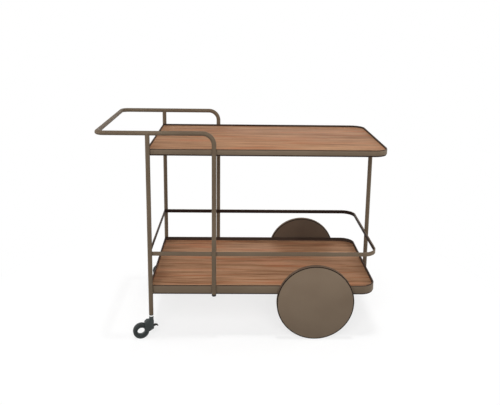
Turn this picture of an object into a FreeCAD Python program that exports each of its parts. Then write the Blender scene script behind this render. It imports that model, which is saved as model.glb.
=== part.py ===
import FreeCAD, Part
import math
import os

# A two-tier drinks trolley in bent steel tube, with veneered trays, a guard rail round the lower tray,
# two large disc wheels at one end and two braked swivel casters under the push handle.
# Millimetres. X runs along the trolley, away from the handle. Y runs across it, front side negative.
# Z is up from the floor. The origin is on the floor under the middle of the whole length.

V = FreeCAD.Vector
FRONT, BACK = -1, 1
SIDES = {"front": FRONT, "back": BACK}
UP = V(0, 0, 1)

# Tubes of the frame
TUBE_OD = 16.0
TUBE_WALL = 1.5
WELD_SEAT = 0.6           # flat milled into a tube where it is welded to a band
HANDLE_CORNER_R = 26.0    # bend of the tube's centre line at the two handle corners
HANDLE_DROP_R = 40.0      # bend of the tube's centre line from the rail down to an inner post
HANDLE_HEIGHT = 762.0     # from the floor to the top of the handle
HANDLE_REACH = 169.0      # from the trays' handle end to the centre of the cross bar
HANDLE_RISE = 56.0        # from the upper rim's top edge to the centre of the handle rails
OUTER_POST_INSET = 6.0    # from the trays' handle end to the outer posts' centres
POST_SPACING = 227.0      # from outer to inner post
END_POST_CLEAR = 3.0      # from the upper rim's inner face to the end post
POST_FOOT_RISE = 4.0      # from the lower rim's bottom edge up to the open tube ends
PLUG_HEAD = 7.0
PLUG_LENGTH = 12.0
PLUG_CLEARANCE = 0.05

# Trays
TRAY_DEPTH = 504.0
TOP_TRAY_LENGTH = 842.0
TRAY_CORNER_R = 54.0      # rounded corners at the wheel end
TRAY_SQUARE_R = 4.0       # tight corners at the handle end
INNER_CORNER_R = 0.5      # least radius on the inside of a bend
RIM_THICKNESS = 3.0
TOP_RIM_HEIGHT = 24.0
BOTTOM_RIM_HEIGHT = 35.0
TOP_LIP = 7.0             # how far the rim stands above the board
BOTTOM_LIP = 14.0
BOARD_THICKNESS = 9.0
BOARD_GAP = 0.5
SLAT_WIDTH = 25.0
SLAT_THICKNESS = 4.0
SLAT_MARGIN = 30.0        # from the corner bends to the nearest slat
AXLE_SLAT_WIDTH = 44.0

# Guard rail
RAIL_LIFT = 112.0         # from the lower rim's top edge to the rail's bottom edge
RAIL_BAR = 14.0
RAIL_THICKNESS = 5.0

# Screws and bolts
SCREW_R = 2.0
SCREW_HEAD_R = 4.0
SCREW_HEAD = 2.5
SCREW_BITE = 6.0          # depth in the board
BOARD_FIXING_INSET = 88.0  # from the trays' sides to the board screws
BOLT_R = 3.0
BOLT_HEAD_R = 5.0
BOLT_HEAD = 4.0
BOLT_SPACING = 24.0
HOLE_CLEARANCE = 0.05

# Plate on top of the end post
PLATE_LENGTH = 46.0
PLATE_WIDTH = 60.0
PLATE_THICKNESS = 4.0
PLATE_GAP = 1.0           # from the upper rim's inner face to the plate
PLATE_SCREW_INSET = 10.0  # from the plate's edges to its screws

# Axle and its brackets
AXLE_R = 6.0
AXLE_SETBACK = 222.0      # from the lower tray's far end to the axle
AXLE_DROP = 22.0          # from the lower rim's bottom edge to the axle
BRACKET_SETBACK = 7.0     # from the rim's inner face to the bracket
BRACKET_THICKNESS = 4.0
BRACKET_FOOT = 30.0
BRACKET_CHIN = 14.0       # bracket below the axle
RUNNING_CLEARANCE = 0.05
END_FLOAT = 0.3           # play along an axle or a stem

# Large wheels
WHEEL_R = 140.0
WHEEL_WIDTH = 20.0
WHEEL_GAP = 6.0           # from the rim's outer face to the wheel
TYRE_THICKNESS = 4.0
TYRE_INSET = 1.0          # tyre edges lie this far inside the wheel's faces
SHEET = 2.0               # pressed steel of dish and cover
SPIGOT_DEPTH = 4.0        # collar of the cover inside the dish
HUB_R = 14.0
HUB_NOSE = 4.0            # hub barrel on the tray side of the dish
HUB_FLANGE_R = 30.0
HUB_FLANGE = 3.0
BUSH_WALL = 2.0
BUSH_FLANGE_R = 11.0
BUSH_FLANGE = 1.5
SPACER_WALL = 3.0
WASHER_R = 12.0
WASHER_THICKNESS = 1.5
NUT_HEIGHT = 6.2
NUT_FLAT = 9.0            # from the axle to a flat of the nut
AXLE_PROUD = 0.5          # axle end past the nut
COVER_CLEARANCE = 1.5     # axle end to cover

# Casters
CASTER_TYRE_R = 29.0
CASTER_TYRE_WIDTH = 16.0
CASTER_TYRE_ROUND = 2.5
CASTER_RACE_R = 20.0      # bore of the tyre
CASTER_EYE_R = 14.0       # open eye of the hubless core
CASTER_CLEARANCE = 0.3
RACE_RIB = 1.2
RACE_RIB_WIDTH = 5.0
CASTER_OFFSET = 38.0      # stem to the tyre's centre
CASTER_YAW = 18.0         # degrees, tyres turned outwards from straight trailing
CHEEK_THICKNESS = 2.7
CHEEK_REACH = 13.0        # from the tyre's centre to the cheeks' near edge
CHEEK_BELOW = 3.0         # cheeks below the tyre's centre
CHEEK_TAIL = 7.5          # cheeks ahead of the stem's centre
TYRE_ROOM = 1.0           # housing round the tread
HOUSING_RISE = 22.0       # housing above the tyre
HOUSING_SHOULDER = 13.0   # boss above the cheeks
HOUSING_SHELF = 9.0       # level top of the cheeks on the tyre's side of the boss
HOUSING_ROUND = 2.0
HOUSING_TAIL = 5.5        # tail edge above the tyre's centre
BOSS_R = 8.0
BOSS_FLOOR = 1.5          # boss below the end of the stem's hole
STEM_R = 5.0
STEM_LENGTH = 22.0        # swivel pin in the housing
STEM_RIDGE = 0.8
STEM_RIDGE_HEIGHT = 1.5
COLLAR_R = 7.5
COLLAR_HEIGHT = 5.0
THREAD_R = 4.0
SOCKET_LENGTH = 30.0
SOCKET_FLANGE = 3.0       # flange between a leg and its caster's collar
THREAD_SHORT = 4.0        # thread ends this far below the socket's top

# Brake lever
PIN_R = 1.5
PIN_FORWARD = 1.0         # pin ahead of the stem
PIN_RISE = 11.0           # pin above the tyre's centre
LEVER_WIDTH = 12.0
LEVER_SIDE_PLAY = 0.5
LEVER_HUB_R = 4.2
LEVER_TRAVEL = 20.0       # degrees
LEVER_TIP_R = 2.0
BRAKE_GAP = 0.5           # left between tip and tread when pressed
LEVER_ROOM_BELOW = 11.0   # slot below and above the pin
LEVER_ROOM_ABOVE = 7.0
PEDAL_REACH = 23.0        # from pin to pedal end
PEDAL_BEND = 14.0         # from pin to the pedal's bow
PEDAL_BOW = 7.0           # top of the pedal above the pin
PEDAL_DIP = 4.0           # pedal's end below its bow
PEDAL_THICKNESS = 3.2

# Levels and places that follow from the sizes above
tube_r = TUBE_OD / 2
overall_length = TOP_TRAY_LENGTH + HANDLE_REACH + tube_r
handle_end = overall_length / 2 - TOP_TRAY_LENGTH
top_far_end = overall_length / 2
end_post_x = top_far_end - RIM_THICKNESS - END_POST_CLEAR - tube_r
bottom_far_end = end_post_x - tube_r + WELD_SEAT
half_depth = TRAY_DEPTH / 2
post_y = half_depth + tube_r - WELD_SEAT
outer_post_x = handle_end + OUTER_POST_INSET
inner_post_x = outer_post_x + POST_SPACING
cross_bar_x = handle_end - HANDLE_REACH

axle_x = bottom_far_end - AXLE_SETBACK
axle_z = WHEEL_R
bottom_rim_low = axle_z + AXLE_DROP
bottom_rim_top = bottom_rim_low + BOTTOM_RIM_HEIGHT
post_foot = bottom_rim_low + POST_FOOT_RISE
rail_low = bottom_rim_top + RAIL_LIFT
rail_top = rail_low + RAIL_BAR
handle_z = HANDLE_HEIGHT - tube_r
top_rim_top = handle_z - HANDLE_RISE
top_rim_low = top_rim_top - TOP_RIM_HEIGHT
top_board_low = top_rim_top - TOP_LIP - BOARD_THICKNESS
bottom_board_low = bottom_rim_top - BOTTOM_LIP - BOARD_THICKNESS

housing_top = 2 * CASTER_TYRE_R + HOUSING_RISE
collar_low = housing_top + END_FLOAT
collar_top = collar_low + COLLAR_HEIGHT
outer_post_low = collar_top + SOCKET_FLANGE
stem_low = collar_low - STEM_LENGTH
ridge_low = stem_low + STEM_RIDGE_HEIGHT
ridge_top = ridge_low + STEM_RIDGE_HEIGHT
cheek_inside = CASTER_TYRE_WIDTH / 2 + CASTER_CLEARANCE
cheek_outside = cheek_inside + CHEEK_THICKNESS
pin_z = CASTER_TYRE_R + PIN_RISE


def block(x_span, y_span, z_span):
    """A box between two X, two Y and two Z values."""
    x, y, z = sorted(x_span), sorted(y_span), sorted(z_span)
    return Part.makeBox(x[1] - x[0], y[1] - y[0], z[1] - z[0], V(x[0], y[0], z[0]))


def rod(radius, start, end):
    """A round bar from one point to another."""
    path = end - start
    return Part.makeCylinder(radius, path.Length, start, path)


def sleeve(outer, inner, start, end):
    """A round bar with a hole right through it."""
    return rod(outer, start, end).cut(rod(inner, start, end))


def upright(radius, x, y, low, high):
    """A round bar standing along Z."""
    return rod(radius, V(x, y, low), V(x, y, high))


def tray_outline(far_end, inset, level):
    """The trays' plan, square at the handle end and rounded at the far end, drawn in by an inset."""
    x0, x1 = handle_end + inset, far_end - inset
    y1 = half_depth - inset
    tight, wide = max(TRAY_SQUARE_R - inset, INNER_CORNER_R), TRAY_CORNER_R - inset
    edges = []

    def corner(centre, radius, start_angle):
        edges.append(Part.makeCircle(radius, centre, UP, start_angle, start_angle + 90))

    def side(start, end):
        edges.append(Part.makeLine(start, end))

    corner(V(x0 + tight, -y1 + tight, level), tight, 180)
    side(V(x0 + tight, -y1, level), V(x1 - wide, -y1, level))
    corner(V(x1 - wide, -y1 + wide, level), wide, 270)
    side(V(x1, -y1 + wide, level), V(x1, y1 - wide, level))
    corner(V(x1 - wide, y1 - wide, level), wide, 0)
    side(V(x1 - wide, y1, level), V(x0 + tight, y1, level))
    corner(V(x0 + tight, y1 - tight, level), tight, 90)
    side(V(x0, y1 - tight, level), V(x0, -y1 + tight, level))
    return Part.Wire(edges)


def tray_slab(far_end, inset, low, high):
    """A solid plate of the trays' plan."""
    return Part.Face(tray_outline(far_end, inset, low)).extrude(V(0, 0, high - low))


def tray_band(far_end, thickness, low, high):
    """A band bent round the trays' plan."""
    return tray_slab(far_end, 0, low, high).cut(tray_slab(far_end, thickness, low, high))


def cut_all(shape, cutters):
    """A shape with each cutter taken out of it in turn."""
    for cutter in cutters:
        shape = shape.cut(cutter)
    return shape


def weld_seats():
    """The space inside the outer faces of the three bands, which tubes are milled flat against."""
    levels = [
        (bottom_far_end, bottom_rim_low, bottom_rim_top),
        (bottom_far_end, rail_low, rail_top),
        (top_far_end, top_rim_low, top_rim_top),
    ]
    return [block((handle_end - TUBE_OD, far_end), (-half_depth, half_depth), (low, high))
            for far_end, low, high in levels]


def handle_tube():
    """The bent tube: front inner post, rail, cross bar, rail and back inner post."""
    drop, bend = HANDLE_DROP_R, HANDLE_CORNER_R
    bow = math.sqrt(0.5)

    def post_bend(y):
        middle = V(inner_post_x - drop + drop * bow, y, handle_z - drop + drop * bow)
        return V(inner_post_x, y, handle_z - drop), middle, V(inner_post_x - drop, y, handle_z)

    def grip_bend(side):
        y = side * post_y
        turn_y = y - side * bend
        middle = V(cross_bar_x + bend - bend * bow, turn_y + side * bend * bow, handle_z)
        return V(cross_bar_x + bend, y, handle_z), middle, V(cross_bar_x, turn_y, handle_z)

    front_post, front_grip = post_bend(-post_y), grip_bend(FRONT)
    back_post, back_grip = post_bend(post_y)[::-1], grip_bend(BACK)[::-1]
    foot = V(inner_post_x, -post_y, post_foot)
    back_foot = V(inner_post_x, post_y, post_foot)
    edges = [Part.makeLine(foot, front_post[0])]
    bends = [front_post, front_grip, back_grip, back_post]
    for here, following in zip(bends, bends[1:] + [None]):
        edges.append(Part.Arc(*here).toShape())
        edges.append(Part.makeLine(here[2], following[0] if following else back_foot))
    path = Part.Wire(edges)

    def along(radius):
        return path.makePipe(Part.Face(Part.Wire(Part.makeCircle(radius, foot, UP))))

    return cut_all(along(tube_r), [along(tube_r - TUBE_WALL)] + weld_seats())


def outer_post(side):
    """A straight tube from a caster up to its handle rail, coped to the rail's round underside."""
    y = side * post_y
    top = handle_z - tube_r / 2
    low, high = V(outer_post_x, y, outer_post_low), V(outer_post_x, y, top)
    rail = rod(tube_r, V(cross_bar_x, y, handle_z), V(inner_post_x, y, handle_z))
    return cut_all(sleeve(tube_r, tube_r - TUBE_WALL, low, high), [rail] + weld_seats())


def end_post():
    """The tube outside the lower tray's far end, up to its plate under the upper board."""
    low = V(end_post_x, 0, post_foot)
    high = V(end_post_x, 0, top_board_low - PLATE_THICKNESS)
    lower_seats = weld_seats()[:2]
    return cut_all(sleeve(tube_r, tube_r - TUBE_WALL, low, high), lower_seats)


plate_far = top_far_end - RIM_THICKNESS - PLATE_GAP
plate_near = plate_far - PLATE_LENGTH


def plate_screw_places():
    """Centres of the screws in the end post's plate."""
    y = PLATE_WIDTH / 2 - PLATE_SCREW_INSET
    return [(x, side * y) for x in (plate_near + PLATE_SCREW_INSET, plate_far - PLATE_SCREW_INSET)
            for side in (FRONT, BACK)]


def end_post_bracket():
    """The plate on top of the end post."""
    low = top_board_low - PLATE_THICKNESS
    plate = block((plate_near, plate_far), (-PLATE_WIDTH / 2, PLATE_WIDTH / 2), (low, top_board_low))
    return cut_all(plate, screw_holes(plate_screw_places(), low, top_board_low))


def post_end_plugs():
    """Push-in plugs in the three open tube ends."""
    places = [(inner_post_x, -post_y), (inner_post_x, post_y), (end_post_x, 0)]
    plug_r = tube_r - TUBE_WALL - PLUG_CLEARANCE
    plugs = []
    for x, y in places:
        head = upright(tube_r, x, y, post_foot - PLUG_HEAD, post_foot)
        plug = head.fuse(upright(plug_r, x, y, post_foot, post_foot + PLUG_LENGTH))
        plugs.append(cut_all(plug, weld_seats()))
    return Part.makeCompound(plugs)


def screw_holes(places, low, high):
    """Round holes for wood screws."""
    return [upright(SCREW_R + HOLE_CLEARANCE, x, y, low, high) for x, y in places]


def wood_screws(places, seat, board_low):
    """Pan-head screws whose heads seat under a bar and whose shanks end in a board."""
    screws = []
    for x, y in places:
        head = upright(SCREW_HEAD_R, x, y, seat - SCREW_HEAD, seat)
        screws.append(head.fuse(upright(SCREW_R, x, y, seat, board_low + SCREW_BITE)))
    return Part.makeCompound(screws)


def slat_stations(far_end):
    """Centres of the slats nearest to a tray's two ends."""
    margin = SLAT_MARGIN + SLAT_WIDTH / 2
    return handle_end + TRAY_SQUARE_R + margin, far_end - TRAY_CORNER_R - margin


top_first, top_last = slat_stations(top_far_end)
TOP_STATIONS = [top_first, (top_first + top_last) / 2, top_last]
bottom_first, bottom_last = slat_stations(bottom_far_end)
BOTTOM_STATIONS = [bottom_first, (bottom_first + axle_x) / 2, bottom_last]


def board_screw_places(stations):
    """Two screws in each slat."""
    y = half_depth - BOARD_FIXING_INSET
    return [(x, side * y) for x in stations for side in (FRONT, BACK)]


def slat(x, width, board_low):
    """A flat bar between the rims, under a board, drilled for its screws."""
    reach = half_depth - RIM_THICKNESS
    low = board_low - SLAT_THICKNESS
    bar = block((x - width / 2, x + width / 2), (-reach, reach), (low, board_low))
    return cut_all(bar, screw_holes(board_screw_places([x]), low, board_low))


def slats(stations, board_low):
    """The plain slats of one tray."""
    return Part.makeCompound([slat(x, SLAT_WIDTH, board_low) for x in stations])


def axle_bolt_places(side):
    """Two bolts through each axle bracket's foot."""
    y = side * (bracket_inner_y() - BRACKET_FOOT / 2)
    return [(axle_x + offset * BOLT_SPACING / 2, y) for offset in (-1, 1)]


def bolt_holes(side, low, high):
    """Round holes for the bracket bolts of one side."""
    return [upright(BOLT_R + HOLE_CLEARANCE, x, y, low, high) for x, y in axle_bolt_places(side)]


def axle_slat():
    """The wide slat over the axle, tapped for the bracket bolts."""
    low = bottom_board_low - SLAT_THICKNESS
    holes = bolt_holes(FRONT, low, bottom_board_low) + bolt_holes(BACK, low, bottom_board_low)
    return cut_all(slat(axle_x, AXLE_SLAT_WIDTH, bottom_board_low), holes)


def board(far_end, low, screw_places):
    """A veneered board inside its rim, with pilot holes from below."""
    slab = tray_slab(far_end, RIM_THICKNESS + BOARD_GAP, low, low + BOARD_THICKNESS)
    return cut_all(slab, screw_holes(screw_places, low, low + SCREW_BITE))


def guard_rail_hoop():
    """The flat bar along the front, round the far end and along the back."""
    band = tray_band(bottom_far_end, RAIL_THICKNESS, rail_low, rail_top)
    reach = half_depth - RAIL_THICKNESS
    gap_depth = RAIL_THICKNESS + TRAY_SQUARE_R
    gap = block((handle_end, handle_end + gap_depth), (-reach, reach), (rail_low, rail_top))
    return band.cut(gap)


def guard_rail_end_bar():
    """The flat bar across the handle end, between the hoop's two ends."""
    reach = half_depth - RAIL_THICKNESS
    return block((handle_end, handle_end + RAIL_THICKNESS), (-reach, reach), (rail_low, rail_top))


def bracket_inner_y():
    """Distance of an axle bracket's upright plate from the middle, on its inner face."""
    return half_depth - RIM_THICKNESS - BRACKET_SETBACK - BRACKET_THICKNESS


def axle_bracket(side):
    """An angle: a foot bolted under the axle slat and an upright plate that holds the axle."""
    slat_low = bottom_board_low - SLAT_THICKNESS
    x_span = (axle_x - AXLE_SLAT_WIDTH / 2, axle_x + AXLE_SLAT_WIDTH / 2)
    inner = bracket_inner_y()
    plate_y = (side * inner, side * (inner + BRACKET_THICKNESS))
    plate = block(x_span, plate_y, (axle_z - BRACKET_CHIN, slat_low))
    foot_low = slat_low - BRACKET_THICKNESS
    foot = block(x_span, (side * (inner - BRACKET_FOOT), side * inner), (foot_low, slat_low))
    bore = rod(AXLE_R + HOLE_CLEARANCE, V(axle_x, plate_y[0], axle_z), V(axle_x, plate_y[1], axle_z))
    return cut_all(plate.fuse(foot).removeSplitter(), [bore] + bolt_holes(side, foot_low, slat_low))


def axle_bracket_bolts():
    """Bolts from below, through the brackets' feet and into the axle slat."""
    seat = bottom_board_low - SLAT_THICKNESS - BRACKET_THICKNESS
    bolts = []
    for side in (FRONT, BACK):
        for x, y in axle_bolt_places(side):
            head = upright(BOLT_HEAD_R, x, y, seat - BOLT_HEAD, seat)
            bolts.append(head.fuse(upright(BOLT_R, x, y, seat, bottom_board_low)))
    return Part.makeCompound(bolts)


# Places along the axle, as distances from the wheel's tray-side face, outwards
wheel_face_y = half_depth + WHEEL_GAP
cover_inside = WHEEL_WIDTH - SHEET
axle_end = cover_inside - COVER_CLEARANCE
nut_outer = axle_end - AXLE_PROUD
nut_inner = nut_outer - NUT_HEIGHT
washer_inner = nut_inner - WASHER_THICKNESS
hub_outer = washer_inner - END_FLOAT
bush_inner = -HUB_NOSE - BUSH_FLANGE
bush_r = AXLE_R + RUNNING_CLEARANCE + BUSH_WALL


def on_axle(side, out):
    """A point on the axle at a distance outwards from the wheel's tray-side face."""
    return V(axle_x, side * (wheel_face_y + out), axle_z)


def disc(side, radius, inner, outer):
    """A disc round the axle."""
    return rod(radius, on_axle(side, inner), on_axle(side, outer))


def hoop(side, radius, bore, inner, outer):
    """A ring round the axle."""
    return disc(side, radius, inner, outer).cut(disc(side, bore, inner, outer))


def axle():
    """The fixed axle, from inside one wheel to inside the other."""
    return rod(AXLE_R, on_axle(FRONT, axle_end), on_axle(BACK, axle_end))


def axle_spacers():
    """Sleeves between the brackets and the wheels' bushes."""
    bracket_face = bracket_inner_y() + BRACKET_THICKNESS - wheel_face_y
    outer = AXLE_R + HOLE_CLEARANCE + SPACER_WALL
    return Part.makeCompound([hoop(side, outer, AXLE_R + HOLE_CLEARANCE, bracket_face, bush_inner - END_FLOAT)
                              for side in (FRONT, BACK)])


def axle_washers():
    """Washers outside the hubs."""
    return Part.makeCompound([hoop(side, WASHER_R, AXLE_R + HOLE_CLEARANCE, washer_inner, nut_inner)
                              for side in (FRONT, BACK)])


def axle_nuts():
    """Hexagon nuts on the axle ends, hidden inside the wheels."""
    nuts = []
    corner_r = NUT_FLAT / math.cos(math.radians(30))
    for side in (FRONT, BACK):
        middle = on_axle(side, nut_inner)
        corners = []
        for index in range(7):
            angle = math.radians(60 * index)
            corners.append(middle + V(corner_r * math.cos(angle), 0, corner_r * math.sin(angle)))
        hexagon = Part.Face(Part.makePolygon(corners)).extrude(V(0, side * NUT_HEIGHT, 0))
        nuts.append(hexagon.cut(disc(side, AXLE_R + HOLE_CLEARANCE, nut_inner, nut_outer)))
    return Part.makeCompound(nuts)


def wheel_parts(side):
    """One large wheel: pressed dish, snap-on cover, hub, bush and thin tyre."""
    rim_r = WHEEL_R - TYRE_THICKNESS
    bore_r = rim_r - SHEET
    spigot_r = bore_r - PLUG_CLEARANCE
    dish = disc(side, rim_r, 0, SHEET).fuse(hoop(side, rim_r, bore_r, 0, cover_inside)).removeSplitter()
    dish = dish.cut(disc(side, HUB_R + HOLE_CLEARANCE, 0, SHEET))
    spigot = hoop(side, spigot_r, spigot_r - SHEET, cover_inside - SPIGOT_DEPTH, cover_inside)
    cover = disc(side, rim_r, cover_inside, WHEEL_WIDTH).fuse(spigot)
    barrel = disc(side, HUB_R, -HUB_NOSE, hub_outer)
    flange = disc(side, HUB_FLANGE_R, SHEET, SHEET + HUB_FLANGE)
    hub = barrel.fuse(flange).cut(disc(side, bush_r + HOLE_CLEARANCE, -HUB_NOSE, WHEEL_WIDTH))
    bush = disc(side, bush_r, -HUB_NOSE, hub_outer).fuse(disc(side, BUSH_FLANGE_R, bush_inner, -HUB_NOSE))
    bush = bush.cut(disc(side, AXLE_R + RUNNING_CLEARANCE, bush_inner, hub_outer))
    tyre = hoop(side, WHEEL_R, rim_r, TYRE_INSET, WHEEL_WIDTH - TYRE_INSET)
    return {
        "wheel_dish": dish, "wheel_cover": cover, "wheel_hub": hub,
        "wheel_bush": bush, "wheel_tyre": tyre,
    }


def on_caster(shape, side):
    """A caster piece, drawn about its own stem and trailing along -X, in its place and turned outwards."""
    shape = shape.copy()
    turn = FreeCAD.Rotation(UP, -side * CASTER_YAW)
    shape.Placement = FreeCAD.Placement(V(outer_post_x, side * post_y, 0), turn)
    return shape


def tyre_axis(y):
    """A point on the caster tyre's own axis."""
    return V(-CASTER_OFFSET, y, CASTER_TYRE_R)


def tyre_ring(outer, inner, half_width):
    """A ring about the caster tyre's axis."""
    return sleeve(outer, inner, tyre_axis(-half_width), tyre_axis(half_width))


def caster_tyre():
    """The rolling ring, rounded at its tread, with an inner rib that runs in the core's groove."""
    half = CASTER_TYRE_WIDTH / 2
    solid = rod(CASTER_TYRE_R, tyre_axis(-half), tyre_axis(half))
    rims = [edge for edge in solid.Edges if edge.Closed]
    solid = solid.makeFillet(CASTER_TYRE_ROUND, rims)
    ring = solid.cut(rod(CASTER_RACE_R, tyre_axis(-half), tyre_axis(half)))
    return ring.fuse(tyre_ring(CASTER_RACE_R, CASTER_RACE_R - RACE_RIB, RACE_RIB_WIDTH / 2)).removeSplitter()


def caster_core():
    """Two half rings, face to face, that hold the tyre between them and leave the eye open."""
    outer = CASTER_RACE_R - CASTER_CLEARANCE
    groove_r = outer - RACE_RIB
    groove = tyre_ring(outer, groove_r, RACE_RIB_WIDTH / 2 + CASTER_CLEARANCE)
    halves = []
    for side in (FRONT, BACK):
        ring = sleeve(outer, CASTER_EYE_R, tyre_axis(0), tyre_axis(side * cheek_inside))
        halves.append(ring.cut(groove))
    return Part.makeCompound(halves)


def lever_pin_point(y):
    """A point on the brake pin's axis."""
    return V(PIN_FORWARD, y, pin_z)


def caster_housing():
    """The swivelling moulding: boss round the stem, two cheeks beside the tyre and a slot for the lever."""
    shoulder = housing_top - HOUSING_SHOULDER
    near = -CASTER_OFFSET + CHEEK_REACH
    low = CASTER_TYRE_R - CHEEK_BELOW
    tread_end = -CASTER_OFFSET + CASTER_TYRE_R
    shelf_end = -BOSS_R - HOUSING_SHELF
    profile = [
        (shelf_end, shoulder), (near, 2 * CASTER_TYRE_R + TYRE_ROOM), (near, low), (tread_end, low),
        (CHEEK_TAIL, CASTER_TYRE_R + HOUSING_TAIL), (CHEEK_TAIL, shoulder), (shelf_end, shoulder),
    ]
    face = Part.Face(Part.makePolygon([V(x, -cheek_outside, z) for x, z in profile]))
    body = face.extrude(V(0, 2 * cheek_outside, 0))
    side_edges = [edge for edge in body.Edges if abs(edge.BoundBox.YLength) < CASTER_CLEARANCE]
    body = body.makeFillet(HOUSING_ROUND, side_edges)
    boss_low = stem_low - END_FLOAT - BOSS_FLOOR
    body = body.fuse(upright(BOSS_R, 0, 0, boss_low, housing_top)).removeSplitter()
    wheel_room = rod(CASTER_TYRE_R + TYRE_ROOM, tyre_axis(-cheek_inside), tyre_axis(cheek_inside))
    slot_half = LEVER_WIDTH / 2 + LEVER_SIDE_PLAY
    slot_z = (pin_z - LEVER_ROOM_BELOW, pin_z + LEVER_ROOM_ABOVE)
    slot_x = (tread_end - 2 * LEVER_TIP_R, max(BOSS_R, CHEEK_TAIL))
    slot = block(slot_x, (-slot_half, slot_half), slot_z)
    pin_hole = rod(PIN_R + HOLE_CLEARANCE, lever_pin_point(-cheek_outside), lever_pin_point(cheek_outside))
    stem_hole = upright(STEM_R + RUNNING_CLEARANCE, 0, 0, stem_low - END_FLOAT, housing_top)
    groove_r = STEM_R + STEM_RIDGE + CASTER_CLEARANCE
    ridge_hole = upright(groove_r, 0, 0, ridge_low - END_FLOAT, ridge_top + END_FLOAT)
    return cut_all(body, [wheel_room, slot, pin_hole, stem_hole, ridge_hole])


def caster_stem():
    """Thread, bright collar and swivel pin with its retaining ridge, in one turned piece."""
    pin = upright(STEM_R, 0, 0, stem_low, collar_low)
    ridge = upright(STEM_R + STEM_RIDGE, 0, 0, ridge_low, ridge_top)
    collar = upright(COLLAR_R, 0, 0, collar_low, collar_top)
    thread = upright(THREAD_R, 0, 0, collar_top, collar_top + SOCKET_LENGTH - THREAD_SHORT)
    return pin.fuse(ridge).fuse(collar).fuse(thread).removeSplitter()


def caster_socket():
    """The threaded insert pressed into the foot of an outer post, with a flange under the tube."""
    top = collar_top + SOCKET_LENGTH
    insert = upright(tube_r - TUBE_WALL - PLUG_CLEARANCE, 0, 0, collar_top, top)
    flanged = insert.fuse(upright(tube_r, 0, 0, collar_top, outer_post_low)).removeSplitter()
    return flanged.cut(upright(THREAD_R + HOLE_CLEARANCE, 0, 0, collar_top, top))


def brake_pin():
    """The pin through both cheeks."""
    return rod(PIN_R, lever_pin_point(-cheek_outside), lever_pin_point(cheek_outside))


def brake_lever():
    """A bowed pedal, a hub on the pin, and a rounded tip that swings up to the tread when pressed."""
    half = LEVER_WIDTH / 2
    hub = rod(LEVER_HUB_R, lever_pin_point(-half), lever_pin_point(half))
    thick = PEDAL_THICKNESS
    end_top = PEDAL_BOW - PEDAL_DIP
    outline = [
        (0, thick), (PEDAL_BEND, PEDAL_BOW), (PEDAL_REACH, end_top),
        (PEDAL_REACH, end_top - thick), (PEDAL_BEND, PEDAL_BOW - thick), (0, -thick), (0, thick),
    ]
    points = [V(PIN_FORWARD + x, -half, pin_z + z) for x, z in outline]
    pedal = Part.Face(Part.makePolygon(points)).extrude(V(0, LEVER_WIDTH, 0))
    to_tyre = tyre_axis(0) - lever_pin_point(0)
    tip_reach = to_tyre.Length - CASTER_TYRE_R - BRAKE_GAP - LEVER_TIP_R
    angle = math.atan2(to_tyre.z, to_tyre.x) + math.radians(LEVER_TRAVEL)
    tip = lever_pin_point(0) + V(math.cos(angle), 0, math.sin(angle)) * tip_reach
    across = V(-math.sin(angle), 0, math.cos(angle)) * LEVER_TIP_R
    to_side = V(0, half, 0)
    root = lever_pin_point(0)
    corners = [root + across, tip + across, tip - across, root - across, root + across]
    arm = Part.Face(Part.makePolygon([point - to_side for point in corners])).extrude(to_side * 2)
    nose = rod(LEVER_TIP_R, tip - to_side, tip + to_side)
    lever = hub.fuse(pedal).fuse(arm).fuse(nose).removeSplitter()
    return lever.cut(rod(PIN_R + RUNNING_CLEARANCE, lever_pin_point(-half), lever_pin_point(half)))


def build():
    """Every piece by its name."""
    bottom_screw_places = board_screw_places(BOTTOM_STATIONS + [axle_x])
    top_screw_places = board_screw_places(TOP_STATIONS)
    top_slat_low = top_board_low - SLAT_THICKNESS
    bottom_slat_low = bottom_board_low - SLAT_THICKNESS
    plate_low = top_board_low - PLATE_THICKNESS
    pieces = {
        "handle_tube": handle_tube(),
        "end_post": end_post(),
        "end_post_bracket": end_post_bracket(),
        "end_bracket_screws": wood_screws(plate_screw_places(), plate_low, top_board_low),
        "post_end_plugs": post_end_plugs(),
        "top_rim": tray_band(top_far_end, RIM_THICKNESS, top_rim_low, top_rim_top),
        "bottom_rim": tray_band(bottom_far_end, RIM_THICKNESS, bottom_rim_low, bottom_rim_top),
        "top_panel": board(top_far_end, top_board_low, top_screw_places + plate_screw_places()),
        "bottom_panel": board(bottom_far_end, bottom_board_low, bottom_screw_places),
        "top_slats": slats(TOP_STATIONS, top_board_low),
        "bottom_slats": slats(BOTTOM_STATIONS, bottom_board_low),
        "axle_slat": axle_slat(),
        "top_panel_screws": wood_screws(top_screw_places, top_slat_low, top_board_low),
        "bottom_panel_screws": wood_screws(bottom_screw_places, bottom_slat_low, bottom_board_low),
        "guard_rail_hoop": guard_rail_hoop(),
        "guard_rail_end_bar": guard_rail_end_bar(),
        "axle": axle(),
        "axle_bracket_bolts": axle_bracket_bolts(),
        "axle_spacers": axle_spacers(),
        "axle_washers": axle_washers(),
        "axle_nuts": axle_nuts(),
    }
    caster_pieces = {
        "caster_housing": caster_housing(),
        "caster_core": caster_core(),
        "caster_tyre": caster_tyre(),
        "caster_stem": caster_stem(),
        "caster_socket": caster_socket(),
        "brake_pin": brake_pin(),
        "brake_lever": brake_lever(),
    }
    for name, side in SIDES.items():
        pieces[name + "_outer_post"] = outer_post(side)
        pieces[name + "_axle_bracket"] = axle_bracket(side)
        for piece, shape in wheel_parts(side).items():
            pieces[name + "_" + piece] = shape
        for piece, shape in caster_pieces.items():
            pieces[name + "_" + piece] = on_caster(shape, side)
    return pieces


os.makedirs("parts", exist_ok=True)
for node, shape in build().items():
    shape.exportStep("parts/" + node + ".step")
    print(node, len(shape.Solids), "solids", round(shape.Volume / 1000, 2), "cm3", shape.isValid())
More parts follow.
